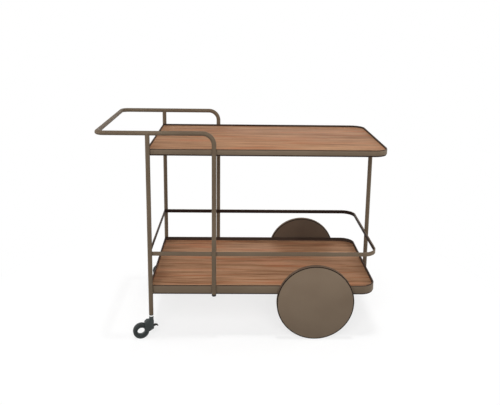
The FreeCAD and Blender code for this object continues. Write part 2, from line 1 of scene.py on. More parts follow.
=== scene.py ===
# %% [markdown]
# # A two-tier drinks trolley in bent tube and veneered board
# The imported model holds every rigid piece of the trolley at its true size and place, in metres. This
# lesson loads it, sets up a small studio, mixes the finishes, and then models the pieces that show once
# more, with the bends, rounded edges and fittings that a workshop leaves on them.

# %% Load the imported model
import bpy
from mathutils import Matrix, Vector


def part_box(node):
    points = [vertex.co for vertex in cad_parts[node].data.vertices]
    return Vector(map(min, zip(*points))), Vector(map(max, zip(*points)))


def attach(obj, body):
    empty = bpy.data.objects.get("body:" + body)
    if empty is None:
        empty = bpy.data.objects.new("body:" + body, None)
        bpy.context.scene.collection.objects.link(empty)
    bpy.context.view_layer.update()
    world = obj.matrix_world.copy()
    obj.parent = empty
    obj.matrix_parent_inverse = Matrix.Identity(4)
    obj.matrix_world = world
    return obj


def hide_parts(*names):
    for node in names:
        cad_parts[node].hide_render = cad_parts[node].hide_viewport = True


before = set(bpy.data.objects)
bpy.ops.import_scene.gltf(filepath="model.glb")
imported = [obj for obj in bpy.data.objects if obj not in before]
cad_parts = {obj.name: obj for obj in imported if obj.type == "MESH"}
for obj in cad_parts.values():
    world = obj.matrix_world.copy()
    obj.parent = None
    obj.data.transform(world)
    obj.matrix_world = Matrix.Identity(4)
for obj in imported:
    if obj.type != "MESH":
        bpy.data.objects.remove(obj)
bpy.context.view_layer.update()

# %% Tools for modelling
import bmesh
import bpy
import math
from mathutils import Matrix, Vector

MM = 0.001
QUARTER_TURN = math.radians(90)
SIDES = {"front": -1, "back": 1}
scene = bpy.context.scene
scene.view_settings.view_transform = "Standard"


def mm(x, y, z):
    """A place or a size written in millimetres, in the metres that the model has."""
    return Vector((x, y, z)) * MM


def centre_of(node):
    """The middle of a node's box along X, Y and Z."""
    return [(low + high) / 2 for low, high in zip(*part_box(node))]


# %% [markdown]
# ## The camera
# A catalogue picture is taken with a long lens from a little above the top tray. The camera could be aimed
# by eye, but here its place and its three turns were worked out from points on the trolley, so that the
# model lines up with the picture. The small lens shift keeps the legs close to upright.

# %% Camera
CAMERA_PLACE = mm(-22.6, -2368.0, 1154.0)
LOOK_DOWN = math.radians(12.42)
LOOK_ASIDE = math.radians(1.26)
ROLL = math.radians(0.72)
SENSOR_WIDTH = 36.0  # millimetres, as is the focal length
FOCAL_LENGTH = 45.36
LENS_SHIFT = -0.1

lens = bpy.data.cameras.new("studio_camera")
lens.sensor_width = SENSOR_WIDTH
lens.lens = FOCAL_LENGTH
lens.shift_y = LENS_SHIFT
camera = bpy.data.objects.new("studio_camera", lens)
scene.collection.objects.link(camera)
camera.matrix_world = (Matrix.Translation(CAMERA_PLACE) @ Matrix.Rotation(-LOOK_ASIDE, 4, "Z")
                       @ Matrix.Rotation(QUARTER_TURN - LOOK_DOWN, 4, "X") @ Matrix.Rotation(ROLL, 4, "Z"))
scene.camera = camera
print("camera looks down by", round(math.degrees(LOOK_DOWN), 1), "degrees")

# %% [markdown]
# ## Shader sums
# A finish is mostly arithmetic on masks: one minus this, times that. Written as nodes by hand it is long,
# so a small class holds one output of a node, and a sum of two of them adds the Math node that works it
# out. Every other node comes from one method, which takes the node's type, its settings, and what goes
# into its sockets.

# %% A wire between shader nodes
class Wire:
    """One output of a shader node. Sums between wires, or with plain numbers, add Math nodes."""

    def __init__(self, tree, socket):
        self.tree = tree
        self.socket = socket

    def add(self, kind, settings, sockets, output=0):
        """Adds any node to the same tree and gives one of its outputs."""
        node = self.tree.nodes.new("ShaderNode" + kind)
        for name, value in settings.items():
            setattr(node, name, value)
        for name, value in sockets.items():
            if isinstance(value, Wire):
                self.tree.links.new(value.socket, node.inputs[name])
            else:
                node.inputs[name].default_value = value
        return Wire(self.tree, node.outputs[output])

    def sum(self, operation, first, second):
        """Adds a Math node for two wires, or for a wire and a number."""
        return self.add("Math", {"operation": operation}, {0: first, 1: second})

    def __add__(self, other):
        return self.sum("ADD", self, other)

    def __radd__(self, other):
        return self.sum("ADD", other, self)

    def __sub__(self, other):
        return self.sum("SUBTRACT", self, other)

    def __rsub__(self, other):
        return self.sum("SUBTRACT", other, self)

    def __mul__(self, other):
        return self.sum("MULTIPLY", self, other)

    def __rmul__(self, other):
        return self.sum("MULTIPLY", other, self)

    def __truediv__(self, other):
        return self.sum("DIVIDE", self, other)

    def feed(self, node, socket):
        """Links this wire to a named socket of a node that is there already."""
        self.tree.links.new(self.socket, node.inputs[socket])


print("wires can be added, taken away, multiplied and divided")

# %% [markdown]
# Colours are written as a picture shows them, from 0 to 255, because that is how they are read off a
# picture. Shaders want them linear. The other helpers here stretch a value between two limits, mix two
# colours by a mask, and read a cloud of noise at a scale given in bumps per metre along each axis.

# %% Colour and masks
MIX_MASK, MIX_UNDER, MIX_OVER, MIX_RESULT = 0, 6, 7, 2  # where a Mix node has its sockets for colours


def shown(red, green, blue):
    """A colour as a picture shows it, turned by the usual screen curve into the linear one for shaders."""
    def linear(value):
        share = value / 255
        return share / 12.92 if share <= 0.04045 else ((share + 0.055) / 1.055) ** 2.4
    return (linear(red), linear(green), linear(blue), 1.0)


def between(wire, low, high):
    """Nought below the low limit, one above the high one, and a straight rise between them."""
    return wire.add("MapRange", {"clamp": True}, {"Value": wire, "From Min": low, "From Max": high})


def blend_colours(mask, under, over):
    """One colour under another, by a mask."""
    colours = {MIX_MASK: mask, MIX_UNDER: under, MIX_OVER: over}
    return mask.add("Mix", {"data_type": "RGBA"}, colours, MIX_RESULT)


print("a middle grey of 128 is", round(shown(128, 128, 128)[0], 3), "in linear light")

# %% Noise, relief and worn, highlit corners
CORNER_LIMITS = (0.02, 0.25)  # how far the rounded normal leaves the true one where the corners' wear and painted highlight start and are full


def cloud(place, bumps, detail=2.0, roughness=0.5):
    """Soft noise with so many bumps to the metre, one number for every axis or three for X, Y and Z."""
    scales = bumps if isinstance(bumps, tuple) else (bumps, bumps, bumps)
    stretched = place.add("VectorMath", {"operation": "MULTIPLY"}, {0: place, 1: scales})
    return place.add("TexNoise", {}, {"Vector": stretched, "Scale": 1.0, "Detail": detail,
                                      "Roughness": roughness})


def new_finish(name, **constants):
    """A new material with its shader's fixed numbers set, and a wire of the piece's own coordinates."""
    finish = bpy.data.materials.new(name)
    finish.use_nodes = True
    tree = finish.node_tree
    shader = tree.nodes["Principled BSDF"]
    for socket, value in constants.items():
        shader.inputs[socket.replace("_", " ")].default_value = value
    coordinates = tree.nodes.new("ShaderNodeTexCoord")
    return finish, shader, Wire(tree, coordinates.outputs["Object"])


def relief(place, height, depth, strength):
    """A bump from a height between nought and one, this deep in metres."""
    return place.add("Bump", {}, {"Strength": strength, "Distance": depth, "Height": height}, "Normal")


def worn_and_highlit_edges(place, radius):
    """A mask that is one along corners, where a rounded normal leaves the true one."""
    rounded = place.add("Bevel", {"samples": 4}, {"Radius": radius})
    true = place.add("NewGeometry", {}, {}, "Normal")
    agreement = place.add("VectorMath", {"operation": "DOT_PRODUCT"}, {0: rounded, 1: true}, "Value")
    return between(1 - agreement, *CORNER_LIMITS)


print("corners count as worn between", CORNER_LIMITS)

# %% [markdown]
# ## The studio
# Catalogue pictures are lit softly on a white sweep. The white could come from a great deal of light, but
# that would wash out the trolley too. Here the floor and the surroundings are white for the camera and for
# reflections only, and the lamps stay at a level where a colour renders about as it is written.

# %% White surroundings
AMBIENT = 0.1
WHITE = (1.0, 1.0, 1.0, 1.0)


def seen_directly(tree):
    """One for rays from the camera, in reflections and through glass, and nought for the rest."""
    path = tree.nodes.new("ShaderNodeLightPath")
    return (Wire(tree, path.outputs["Is Camera Ray"]) + Wire(tree, path.outputs["Is Glossy Ray"])
            + Wire(tree, path.outputs["Is Transmission Ray"]))


def white_surroundings():
    """Plain white to the camera and in reflections, and a dimmer white as light on the trolley."""
    world = bpy.data.worlds.new("studio")
    scene.world = world
    world.use_nodes = True
    tree = world.node_tree
    dim = tree.nodes["Background"]
    dim.inputs["Color"].default_value = WHITE
    dim.inputs["Strength"].default_value = AMBIENT
    seen = seen_directly(tree)
    bright = seen.add("Background", {}, {"Color": WHITE, "Strength": 1.0})
    both = seen.add("MixShader", {}, {0: seen, 1: Wire(tree, dim.outputs[0]), 2: bright})
    both.feed(tree.nodes["World Output"], "Surface")


white_surroundings()
print("surroundings light the trolley at", AMBIENT)

# %% White floor
FLOOR_SIZE = 40.0
BOUNCE = shown(140, 140, 140)  # the floor for the light that it throws back at the trolley
PAPER = (shown(246, 246, 246), shown(252, 252, 252))
PAPER_BUMPS = 6.0
SHADOW_SHARE = 0.3  # how much of the floor's true shade the camera sees near the trolley
SHADOW_FADE = (0.55, 1.1)  # metres from the middle, between which that share falls to nought


def clear_selection():
    bpy.ops.object.select_all(action="DESELECT")


def white_floor():
    """A flat floor that is white to the camera but keeps a part of the trolley's shadow."""
    clear_selection()
    bpy.ops.mesh.primitive_plane_add(size=FLOOR_SIZE, location=(0, 0, 0))
    floor = bpy.context.active_object
    floor.name = "studio_floor"
    finish, shader, place = new_finish("white_sweep", Roughness=0.9, Specular_IOR_Level=0.0)
    tree = finish.node_tree
    seen = seen_directly(tree)
    paper = blend_colours(cloud(place, PAPER_BUMPS), *PAPER)
    blend_colours(seen, BOUNCE, paper).feed(shader, "Base Color")
    away = place.add("VectorMath", {"operation": "LENGTH"}, {0: place}, "Value")
    shade = SHADOW_SHARE * (1 - between(away, *SHADOW_FADE))
    white = place.add("Emission", {}, {"Color": WHITE, "Strength": 1.0})
    both = place.add("MixShader", {}, {0: seen * (1 - shade), 1: Wire(tree, shader.outputs[0]), 2: white})
    both.feed(tree.nodes["Material Output"], "Surface")
    floor.data.materials.append(finish)


white_floor()
print("floor", FLOOR_SIZE, "metres square")

# %% Lamps
FILL_SIZE = 1.3
CEILING_HEIGHT = 4.0


def hang(name, lamp, place, aim):
    """Puts a lamp at a place and turns it towards a point."""
    fitting = bpy.data.objects.new(name, lamp)
    scene.collection.objects.link(fitting)
    fitting.location = place
    fitting.rotation_euler = (Vector(aim) - Vector(place)).to_track_quat("-Z", "Y").to_euler()
    fitting.visible_glossy = False


def softbox(name, place, aim, power, width=FILL_SIZE, height=FILL_SIZE):
    """A rectangular lamp, with its place and size in metres and its power in watts."""
    lamp = bpy.data.lights.new(name, "AREA")
    lamp.shape = "RECTANGLE"
    lamp.size = width
    lamp.size_y = height
    lamp.energy = power
    hang(name, lamp, place, aim)


def ceiling_light(spread, strength):
    """Even light straight from above, so that the trays' shadow lies right under them."""
    lamp = bpy.data.lights.new("ceiling_light", "SUN")
    lamp.angle = math.radians(spread)
    lamp.energy = strength
    hang("ceiling_light", lamp, (0, 0, CEILING_HEIGHT), (0, 0, 0))


softbox("front_softbox", (-0.1, -2.6, 1.8), (0.0, -0.1, 0.3), power=68.0, width=2.2, height=1.8)
softbox("back_fill", (0.2, 2.6, 0.8), (0.0, 0.2, 0.4), power=44.0)
softbox("handle_end_fill", (-2.6, 0.0, 0.7), (-0.3, 0.0, 0.4), power=32.0)
softbox("wheel_end_fill", (2.6, 0.0, 0.7), (0.3, 0.0, 0.4), power=32.0)
ceiling_light(spread=4.0, strength=1.0)
print("four soft lamps and a ceiling light")

# %% [markdown]
# ## The bronze coat
# All the tube, band and sheet on the trolley is steel under a baked bronze powder coat. Up close such a
# coat is not flat: it has a faint orange peel, a fine metal flake, slow changes of tone where the spray
# was thicker, and a slightly brighter line on corners, as handling wear and a painted highlight. Darker
# copies of the coat paint shade on the tubes, inner faces, slats, lower edges and wheel pans, and a paler
# one paints light on the wheels' faces.

# %% Bronze powder coat
DRIFT_BUMPS = 5.0
FLAKE_BUMPS = 1500.0
FLAKE_SHARE = 0.14
PEEL_BUMPS = 650.0
PEEL_DEPTH = 0.25 * MM
PEEL_STRENGTH = 0.015
HANDLED_AND_HIGHLIT_CORNER = 1.2 * MM
TONE_LIMITS = (0.36, 0.64)


def bronze_coat(name, thin, thick, edge, shine):
    """A baked coat between two tones, with flake, orange peel and brighter corners, as wear and a painted
    highlight.
    """
    finish, shader, place = new_finish(name, Metallic=0.1, Specular_IOR_Level=0.15)
    drift = cloud(place, DRIFT_BUMPS, 3.0)
    flake = cloud(place, FLAKE_BUMPS, 1.0)
    tone = between(drift * (1 - FLAKE_SHARE) + flake * FLAKE_SHARE, *TONE_LIMITS)
    corner = worn_and_highlit_edges(place, HANDLED_AND_HIGHLIT_CORNER)
    coat = blend_colours(tone, shown(*thin), shown(*thick))
    # Corners are paler: handling wear and a painted highlight.
    blend_colours(corner * 0.3, coat, shown(*edge)).feed(shader, "Base Color")
    (shine + 0.12 * flake - 0.08 * corner).feed(shader, "Roughness")
    peel = cloud(place, PEEL_BUMPS)
    relief(place, peel, PEEL_DEPTH, PEEL_STRENGTH).feed(shader, "Normal")
    return finish


# Only the second coat is the plain tone: the darker copies are painted shade and the paler one painted
# light.
shaded_tube_coat = bronze_coat("bronze_coat_shaded_tube", (97, 83, 68), (107, 93, 77), (128, 112, 94), 0.46)
outer_coat = bronze_coat("bronze_coat", (106, 91, 75), (116, 101, 84), (136, 120, 100), 0.46)
shaded_inner_coat = bronze_coat("bronze_coat_shaded_inside", (62, 50, 43), (73, 60, 52), (88, 73, 62), 0.55)
darkest_shade_coat = bronze_coat("bronze_coat_darkest_shade", (36, 25, 21), (46, 33, 28), (62, 48, 40), 0.55)
lit_face_coat = bronze_coat("bronze_coat_lit_face", (114, 98, 82), (124, 108, 91), (142, 125, 105), 0.48)
shaded_pan_coat = bronze_coat("bronze_coat_shaded_pan", (80, 66, 55), (90, 75, 63), (106, 90, 75), 0.5)
print("coats", [coat.name for coat in (shaded_tube_coat, outer_coat, shaded_inner_coat, darkest_shade_coat, lit_face_coat, shaded_pan_coat)])

# %% [markdown]
# ## Walnut veneer
# The boards carry a brown veneer with its grain along the trolley, under a thin satin lacquer. A
# photograph could be laid on them, but a pattern worked out from the board's own coordinates has no edges
# and no seams. It is built like the wood: wide bands of growth, narrower streaks within them, fine open
# pores, and a tone of its own for every leaf of veneer that lies side by side.

# %% Veneer
LEAF_WIDTH = 0.126
LEAF_DRAW = 0.37  # picks the leaves' tones
LEAF_SLIP = 0.61  # metres that each leaf's figure lies further along than its neighbour's
LEAF_CONTRAST = 0.06
GRAIN_SWAY = 0.034  # metres that the grain drifts from side to side
DARK_WOOD = shown(130, 90, 64)
PALE_WOOD = shown(195, 151, 117)
ROSY_WOOD = shown(188, 116, 81)
PORE_COLOUR = shown(104, 70, 52)
PORE_DEPTH = 0.12 * MM


def walnut_veneer():
    """Bands, streaks and pores along X, drifting a little from side to side as real grain does."""
    finish, shader, place = new_finish("walnut_veneer", Specular_IOR_Level=0.02)
    across = place.add("SeparateXYZ", {}, {"Vector": place}, "Y")
    leaf = across.add("Math", {"operation": "FLOOR"}, {0: across / LEAF_WIDTH})
    leaf_tone = leaf.add("TexWhiteNoise", {"noise_dimensions": "1D"}, {"W": leaf + LEAF_DRAW}, "Value")
    wander = cloud(place, (3.6, 6.0, 3.0), 1.0) - 0.5
    shift = place.add("CombineXYZ", {}, {"X": leaf * LEAF_SLIP, "Y": wander * GRAIN_SWAY, "Z": 0.0})
    grain = place.add("VectorMath", {"operation": "ADD"}, {0: place, 1: shift})
    bands = cloud(grain, (1.1, 20.0, 9.0), 3.0, 0.55)
    streaks = cloud(grain, (3.8, 64.0, 13.0), 3.0, 0.6)
    threads = cloud(grain, (9.0, 210.0, 20.0))
    fibres = cloud(grain, (22.0, 620.0, 40.0))
    pores = between(cloud(grain, (45.0, 1100.0, 60.0), 1.0), 0.62, 0.72)
    weave = bands * 0.24 + streaks * 0.46 + threads * 0.18 + fibres * 0.12
    figure = between(weave + (leaf_tone - 0.5) * LEAF_CONTRAST, 0.4, 0.6)
    wood = blend_colours(figure, DARK_WOOD, PALE_WOOD)
    rosy = between(cloud(grain, (3.4, 44.0, 5.0), 3.0), 0.5, 0.66)
    tinted = blend_colours(rosy * 0.5, wood, ROSY_WOOD)
    blend_colours(pores * 0.4, tinted, PORE_COLOUR).feed(shader, "Base Color")
    (0.54 - 0.06 * figure + 0.14 * pores).feed(shader, "Roughness")
    relief(place, fibres * 0.4 + (1 - pores) * 0.6, PORE_DEPTH, 0.25).feed(shader, "Normal")
    return finish


veneer = walnut_veneer()
print("leaves of veneer are", LEAF_WIDTH, "metres wide")

# %% [markdown]
# ## Steel, plastics and rubber
# The fittings are zinc-plated steel, with a mottled dull shine, except the casters' collars, which are
# turned and nickel-plated and show the marks of the lathe, and the brakes' pins, which are blackened.
# Caster mouldings have a fine spark-eroded grain, and mouldings and tyres are paler on their corners, as
# rubbed wear and a painted highlight. The soft tyres are duller, and the big wheels' tyres are paler brown
# on the tread.

# %% Plated steel
LATHE_DEPTH = 0.06 * MM
MOTTLE_LIMITS = (0.35, 0.65)


def plated_steel(name, dark, light, shine, mottle, marks):
    """Plated metal with a mottled tone and fine marks along Z, such as a lathe leaves."""
    finish, shader, place = new_finish(name, Metallic=1.0)
    patches = cloud(place, mottle, 3.0)
    rings = cloud(place, (20.0, 20.0, marks), 1.0)
    blend_colours(between(patches, *MOTTLE_LIMITS), shown(*dark), shown(*light)).feed(shader, "Base Color")
    (shine + 0.14 * patches).feed(shader, "Roughness")
    relief(place, rings, LATHE_DEPTH, 0.3).feed(shader, "Normal")
    return finish


zinc = plated_steel("zinc_plate", (150, 153, 156), (186, 188, 188), 0.32, 260.0, 900.0)
nickel = plated_steel("turned_nickel", (222, 222, 220), (240, 240, 238), 0.12, 160.0, 2600.0)
black_steel = plated_steel("blackened_steel", (58, 61, 62), (78, 81, 81), 0.4, 260.0, 900.0)
print("plated", zinc.name, nickel.name, black_steel.name)

# %% Mouldings and rubber
PATCH_BUMPS = 60.0
RUBBED_AND_HIGHLIT_CORNER = 0.8 * MM
RUBBED_AND_HIGHLIT_PALER = 1.5


def moulded(name, dark, light, shine, grain, depth, gloss=0.3):
    """Plastic or rubber with a fine grained skin, paler on its corners as rubbed wear and a painted
    highlight.
    """
    finish, shader, place = new_finish(name, Specular_IOR_Level=gloss)
    skin = cloud(place, grain)
    patches = cloud(place, PATCH_BUMPS)
    tone = between(patches * 0.6 + skin * 0.4, *MOTTLE_LIMITS)
    corner = worn_and_highlit_edges(place, RUBBED_AND_HIGHLIT_CORNER)
    body = blend_colours(tone, shown(*dark), shown(*light))
    # Corners are paler: rubbed wear and a painted highlight.
    rubbed_and_highlit_tone = tuple(min(1.0, RUBBED_AND_HIGHLIT_PALER * value) for value in shown(*light))
    blend_colours(corner * 0.35, body, rubbed_and_highlit_tone).feed(shader, "Base Color")
    (shine + 0.12 * skin).feed(shader, "Roughness")
    relief(place, skin, depth, 0.35).feed(shader, "Normal")
    return finish


charcoal = moulded("charcoal_moulding", (46, 50, 50), (58, 63, 62), 0.46, 1800.0, 0.08 * MM)
soft_tread = moulded("charcoal_tyre", (46, 49, 49), (58, 62, 61), 0.58, 900.0, 0.12 * MM)
dark_rubber = moulded("dark_rubber", (27, 22, 19), (38, 32, 28), 0.6, 700.0, 0.12 * MM, 0.08)
pale_brown_tread = moulded("pale_brown_tread", (88, 72, 60), (102, 85, 71), 0.65, 700.0, 0.12 * MM, 0.05)
black_cap = moulded("black_end_cap", (22, 22, 22), (32, 31, 30), 0.42, 1600.0, 0.08 * MM)
nylon = moulded("natural_nylon", (214, 210, 198), (228, 224, 213), 0.40, 1200.0, 0.06 * MM)
mouldings = (charcoal, soft_tread, dark_rubber, pale_brown_tread, black_cap, nylon)
print("moulded", [finish.name for finish in mouldings])

# %% [markdown]
# ## Helpers for modelling by hand
# An operator works on whatever is selected, so each piece starts with nothing selected, then a primitive
# is added at its size and place. Its place goes into its mesh at once, so that what is measured in edit
# mode is in the same metres as the rest. Parts of the mesh are picked by a rule on where they are.

# %% Starting a piece and picking parts of it
NEAR = 0.01 * MM
FACING = 0.9  # a face looks along an axis where its normal's share of it is over this
ON_EDGE = 0.5  # a face stands on edge where its normal rises or falls by less than this


def choose(*pieces):
    """Selects only these pieces and makes the first one active."""
    clear_selection()
    for piece in pieces:
        piece.select_set(True)
    bpy.context.view_layer.objects.active = pieces[0]


def settle():
    """Moves the chosen piece's place, turn and size into its mesh."""
    bpy.ops.object.transform_apply(location=True, rotation=True, scale=True)


def name_piece(piece, name):
    """Gives a piece and its mesh the same name."""
    piece.name = name
    piece.data.name = name


def edit_piece():
    bpy.ops.object.mode_set(mode="EDIT")


def close_piece():
    bpy.ops.object.mode_set(mode="OBJECT")


def open_piece(name):
    """Names the primitive that was just added, settles it and opens it for editing, all edges selected."""
    piece = bpy.context.active_object
    name_piece(piece, name)
    settle()
    edit_piece()
    bpy.ops.mesh.select_mode(type="EDGE")
    bpy.ops.mesh.select_all(action="SELECT")
    return piece


def at(value, target):
    """Whether two lengths are the same, near enough."""
    return abs(value - target) < NEAR


def middle(part):
    """The middle of an edge or a face."""
    corners = [vertex.co for vertex in part.verts]
    return sum(corners, Vector()) / len(corners)


def pick(kind, rule):
    """Selects only the parts of one kind, VERT, EDGE or FACE, for which a rule holds."""
    mesh = bpy.context.edit_object.data
    bpy.ops.mesh.select_mode(type=kind)
    bpy.ops.mesh.select_all(action="DESELECT")
    form = bmesh.from_edit_mesh(mesh)
    for part in {"VERT": form.verts, "EDGE": form.edges, "FACE": form.faces}[kind]:
        if rule(part):
            part.select_set(True)
    form.select_flush_mode()
    bmesh.update_edit_mesh(mesh)


print("lengths count as equal within", NEAR, "metres")

# %% Shaping a piece
EASED_ANGLE = math.radians(38)


def push(x, y, z):
    """Draws what is selected outwards, so far along each axis, with new faces behind it."""
    bpy.ops.mesh.extrude_region_move(TRANSFORM_OT_translate={"value": (x, y, z)})


def round_edges(radius, segments):
    """Rounds the selected edges."""
    bpy.ops.mesh.bevel(offset=radius, segments=segments, affect="EDGES")


def tidy_faces():
    """Joins points that lie on each other and turns all faces outwards."""
    bpy.ops.mesh.select_all(action="SELECT")
    bpy.ops.mesh.remove_doubles(threshold=NEAR)
    bpy.ops.mesh.normals_make_consistent(inside=False)


def use_modifier(piece, kind, **settings):
    """Adds a modifier to the active piece, sets it and applies it."""
    modifier = piece.modifiers.new(kind.lower(), kind)
    for name, value in settings.items():
        setattr(modifier, name, value)
    bpy.ops.object.modifier_apply(modifier=modifier.name)


def give_gauge(piece, gauge):
    """Gives a thin sheet its thickness, inwards."""
    use_modifier(piece, "SOLIDIFY", thickness=gauge, offset=-1, use_even_offset=True)


def ease_edges(piece, width, segments=2, finish_index=-1):
    """Rounds every sharp edge of the active piece a little, in another of its finishes if one is given."""
    use_modifier(piece, "BEVEL", width=width, segments=segments, limit_method="ANGLE",
                 angle_limit=EASED_ANGLE, material=finish_index)


def join_slivers():
    """Joins the points of the active piece that easing its tightest corners has left on each other."""
    edit_piece()
    tidy_faces()
    close_piece()


print("edges sharper than", round(math.degrees(EASED_ANGLE)), "degrees are eased")

# %% Placing a piece and handing it over
SMOOTH_ANGLE = math.radians(35)


def place_piece(piece, turn, place):
    """Turns a finished piece about the three axes, moves it and settles it."""
    choose(piece)
    piece.rotation_euler = turn
    piece.location = place
    settle()


def copy_piece(piece, name):
    """A copy with a mesh of its own."""
    choose(piece)
    bpy.ops.object.duplicate(linked=False)
    made = bpy.context.active_object
    name_piece(made, name)
    return made


def join_pieces(name, pieces):
    """Several pieces as one, under a new name."""
    choose(*pieces)
    bpy.ops.object.join()
    name_piece(pieces[0], name)
    return pieces[0]


def paint_faces(piece, finish_index, rule):
    """Gives the faces for which a rule holds another of the piece's finishes."""
    edit_piece()
    pick("FACE", rule)
    piece.active_material_index = finish_index
    bpy.ops.object.material_slot_assign()
    close_piece()


def hand_over(piece, body, nodes, finish=None):
    """Smooths a piece, gives it its finish and lets it ride on a body in place of CAD nodes."""
    choose(piece)
    bpy.ops.object.shade_smooth_by_angle(angle=SMOOTH_ANGLE)
    if finish:
        piece.data.materials.append(finish)
    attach(piece, body)
    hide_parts(*nodes)
    print(piece.name, "has", len(piece.data.polygons), "faces and rides on", body)


print("faces that meet within", round(math.degrees(SMOOTH_ANGLE)), "degrees are shaded as one")

# %% [markdown]
# ## The rims
# Each tray is edged with a band of flat steel, bent round wide corners at the wheel end and tight ones at
# the handle end. In the workshop the band is bent flat and welded into a loop, so here too the plan is
# drawn first: a plane with its four corners rounded. Its outline is drawn upwards into a wall, the wall's
# two edges are drawn in a little, and it gets its gauge inwards. The inner faces and the upper edge take a
# darker coat as painted shade, and the lower edge the darkest coat as a painted shadow line.

# %% The trays' plan
WIDE_CORNER = 54.0 * MM
WIDE_SEGMENTS = 16
TIGHT_CORNER = 4.0 * MM
TIGHT_SEGMENTS = 5
SHARPEST_CORNER = 0.5 * MM


def round_corners(rule, radius, segments):
    """Rounds the corners of a flat plan for which a rule holds."""
    pick("VERT", rule)
    bpy.ops.mesh.bevel(offset=radius, segments=segments, affect="VERTICES", clamp_overlap=False)


def tray_plan(name, node, inset):
    """A flat face on the underside of a node's box, with the trays' two wide and two tight corners."""
    low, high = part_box(node)
    middle_x, middle_y = centre_of(node)[:2]
    centre = (middle_x, middle_y, low.z)
    clear_selection()
    bpy.ops.mesh.primitive_plane_add(size=1, location=centre)
    bpy.ops.transform.resize(value=(high.x - low.x, high.y - low.y, 1), center_override=centre)
    piece = open_piece(name)
    tight = max(TIGHT_CORNER - inset, SHARPEST_CORNER)
    round_corners(lambda corner: corner.co.x < middle_x, tight, TIGHT_SEGMENTS)
    round_corners(lambda corner: at(corner.co.x, high.x), WIDE_CORNER - inset, WIDE_SEGMENTS)
    bpy.ops.mesh.select_all(action="SELECT")
    return piece, high.z - low.z


def drop_face():
    """Takes the face out of a plan and leaves its outline."""
    bpy.ops.mesh.select_mode(type="FACE")
    bpy.ops.mesh.delete(type="ONLY_FACE")


def raise_wall(*heights):
    """Draws an outline upwards into a wall, in one step or more."""
    bpy.ops.mesh.select_mode(type="EDGE")
    bpy.ops.mesh.select_all(action="SELECT")
    for height in heights:
        push(0, 0, height)
    tidy_faces()


print("wide corners", WIDE_CORNER / MM, "tight corners", TIGHT_CORNER / MM)

# %% Rims
RIM_GAUGE = 3.0 * MM
RIM_EASE = 0.4 * MM
TURN_HEIGHT = 5.0 * MM
TURN_DEPTH = 2.4 * MM
ROLL_HEIGHT = 3.0 * MM
ROLL_DEPTH = 1.5 * MM
INNER_SHADE_SLOT, DARKEST_SHADE_SLOT = 1, 2  # where a band keeps its two coats of painted shade
INWARD = -0.1  # a face looks inwards where its normal times its place, in metres, is under this
SLOPE = 0.3  # a face belongs to an edge where its normal rises or falls by more than this


def coat_band(piece, inside):
    """Gives a band round a tray its coats, with a darker one as painted shade on the faces that look
    inwards.
    """
    for coat in (outer_coat, inside, darkest_shade_coat):
        piece.data.materials.append(coat)
    paint_faces(piece, INNER_SHADE_SLOT, lambda face: face.normal.xy.dot(middle(face).xy) < INWARD)


def rim_band(name, node):
    """A welded loop of flat steel on edge, turned in along its bottom and its top."""
    piece, height = tray_plan(name, node, 0.0)
    low, high = (corner.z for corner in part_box(node))
    drop_face()
    raise_wall(TURN_HEIGHT, height - TURN_HEIGHT - ROLL_HEIGHT, ROLL_HEIGHT)
    for level, depth in [(low, TURN_DEPTH), (high, ROLL_DEPTH)]:
        pick("VERT", lambda point: at(point.co.z, level))
        bpy.ops.transform.shrink_fatten(value=-depth, use_even_offset=True)
    close_piece()
    give_gauge(piece, RIM_GAUGE)
    coat_band(piece, shaded_inner_coat)
    # The rolled top takes the inner coat and the turned-in bottom the darkest coat, as painted shade lines.
    paint_faces(piece, INNER_SHADE_SLOT, lambda face: face.normal.z > SLOPE)
    paint_faces(piece, DARKEST_SHADE_SLOT, lambda face: face.normal.z < -SLOPE)
    ease_edges(piece, RIM_EASE)
    hand_over(piece, "frame", [node])


rim_band("upper_rim_band", "top_rim")
rim_band("lower_rim_band", "bottom_rim")

# %% [markdown]
# ## The boards
# A veneered board drops into each rim and rests on slats. It has the rims' plan, drawn in by the gauge and
# a sliver of play, so the same plan serves again. This time the face itself is drawn upwards, and the
# board's arrises are eased as with a few strokes of sandpaper.

# %% Boards
BOARD_INSET = 3.5 * MM
BOARD_EASE = 0.6 * MM


def veneered_board(name, node):
    """A board with the trays' plan and eased edges."""
    piece, height = tray_plan(name, node, BOARD_INSET)
    push(0, 0, height)
    tidy_faces()
    close_piece()
    ease_edges(piece, BOARD_EASE)
    join_slivers()
    hand_over(piece, "frame", [node], veneer)


veneered_board("upper_veneer_board", "top_panel")
veneered_board("lower_veneer_board", "bottom_panel")

# %% [markdown]
# ## The guard rail
# A flat bar runs along the front, round the wheel end and along the back, above the lower tray, so that
# bottles can't slide off. It follows the lower rim's plan, so it starts from the same outline with its
# handle end left open. A short straight bar closes that end.

# %% Guard rail
RAIL_GAUGE = 5.0 * MM
RAIL_EASE = 1.5 * MM
RAIL_SEGMENTS = 3


def finish_rail(piece, node):
    """Eases a rail's edges, gives them and its inner faces the darkest coat as painted shade, and hands it
    over.
    """
    coat_band(piece, darkest_shade_coat)
    ease_edges(piece, RAIL_EASE, RAIL_SEGMENTS, DARKEST_SHADE_SLOT)
    join_slivers()
    hand_over(piece, "frame", [node])


def guard_rail_bar():
    """The long bar, bent round the wheel end."""
    node = "guard_rail_hoop"
    handle_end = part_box(node)[0].x
    piece, height = tray_plan("guard_rail_bar", node, 0.0)
    drop_face()
    pick("EDGE", lambda edge: at(middle(edge).x, handle_end) and at(middle(edge).y, 0.0))
    bpy.ops.mesh.delete(type="EDGE")
    raise_wall(height)
    close_piece()
    give_gauge(piece, RAIL_GAUGE)
    finish_rail(piece, node)


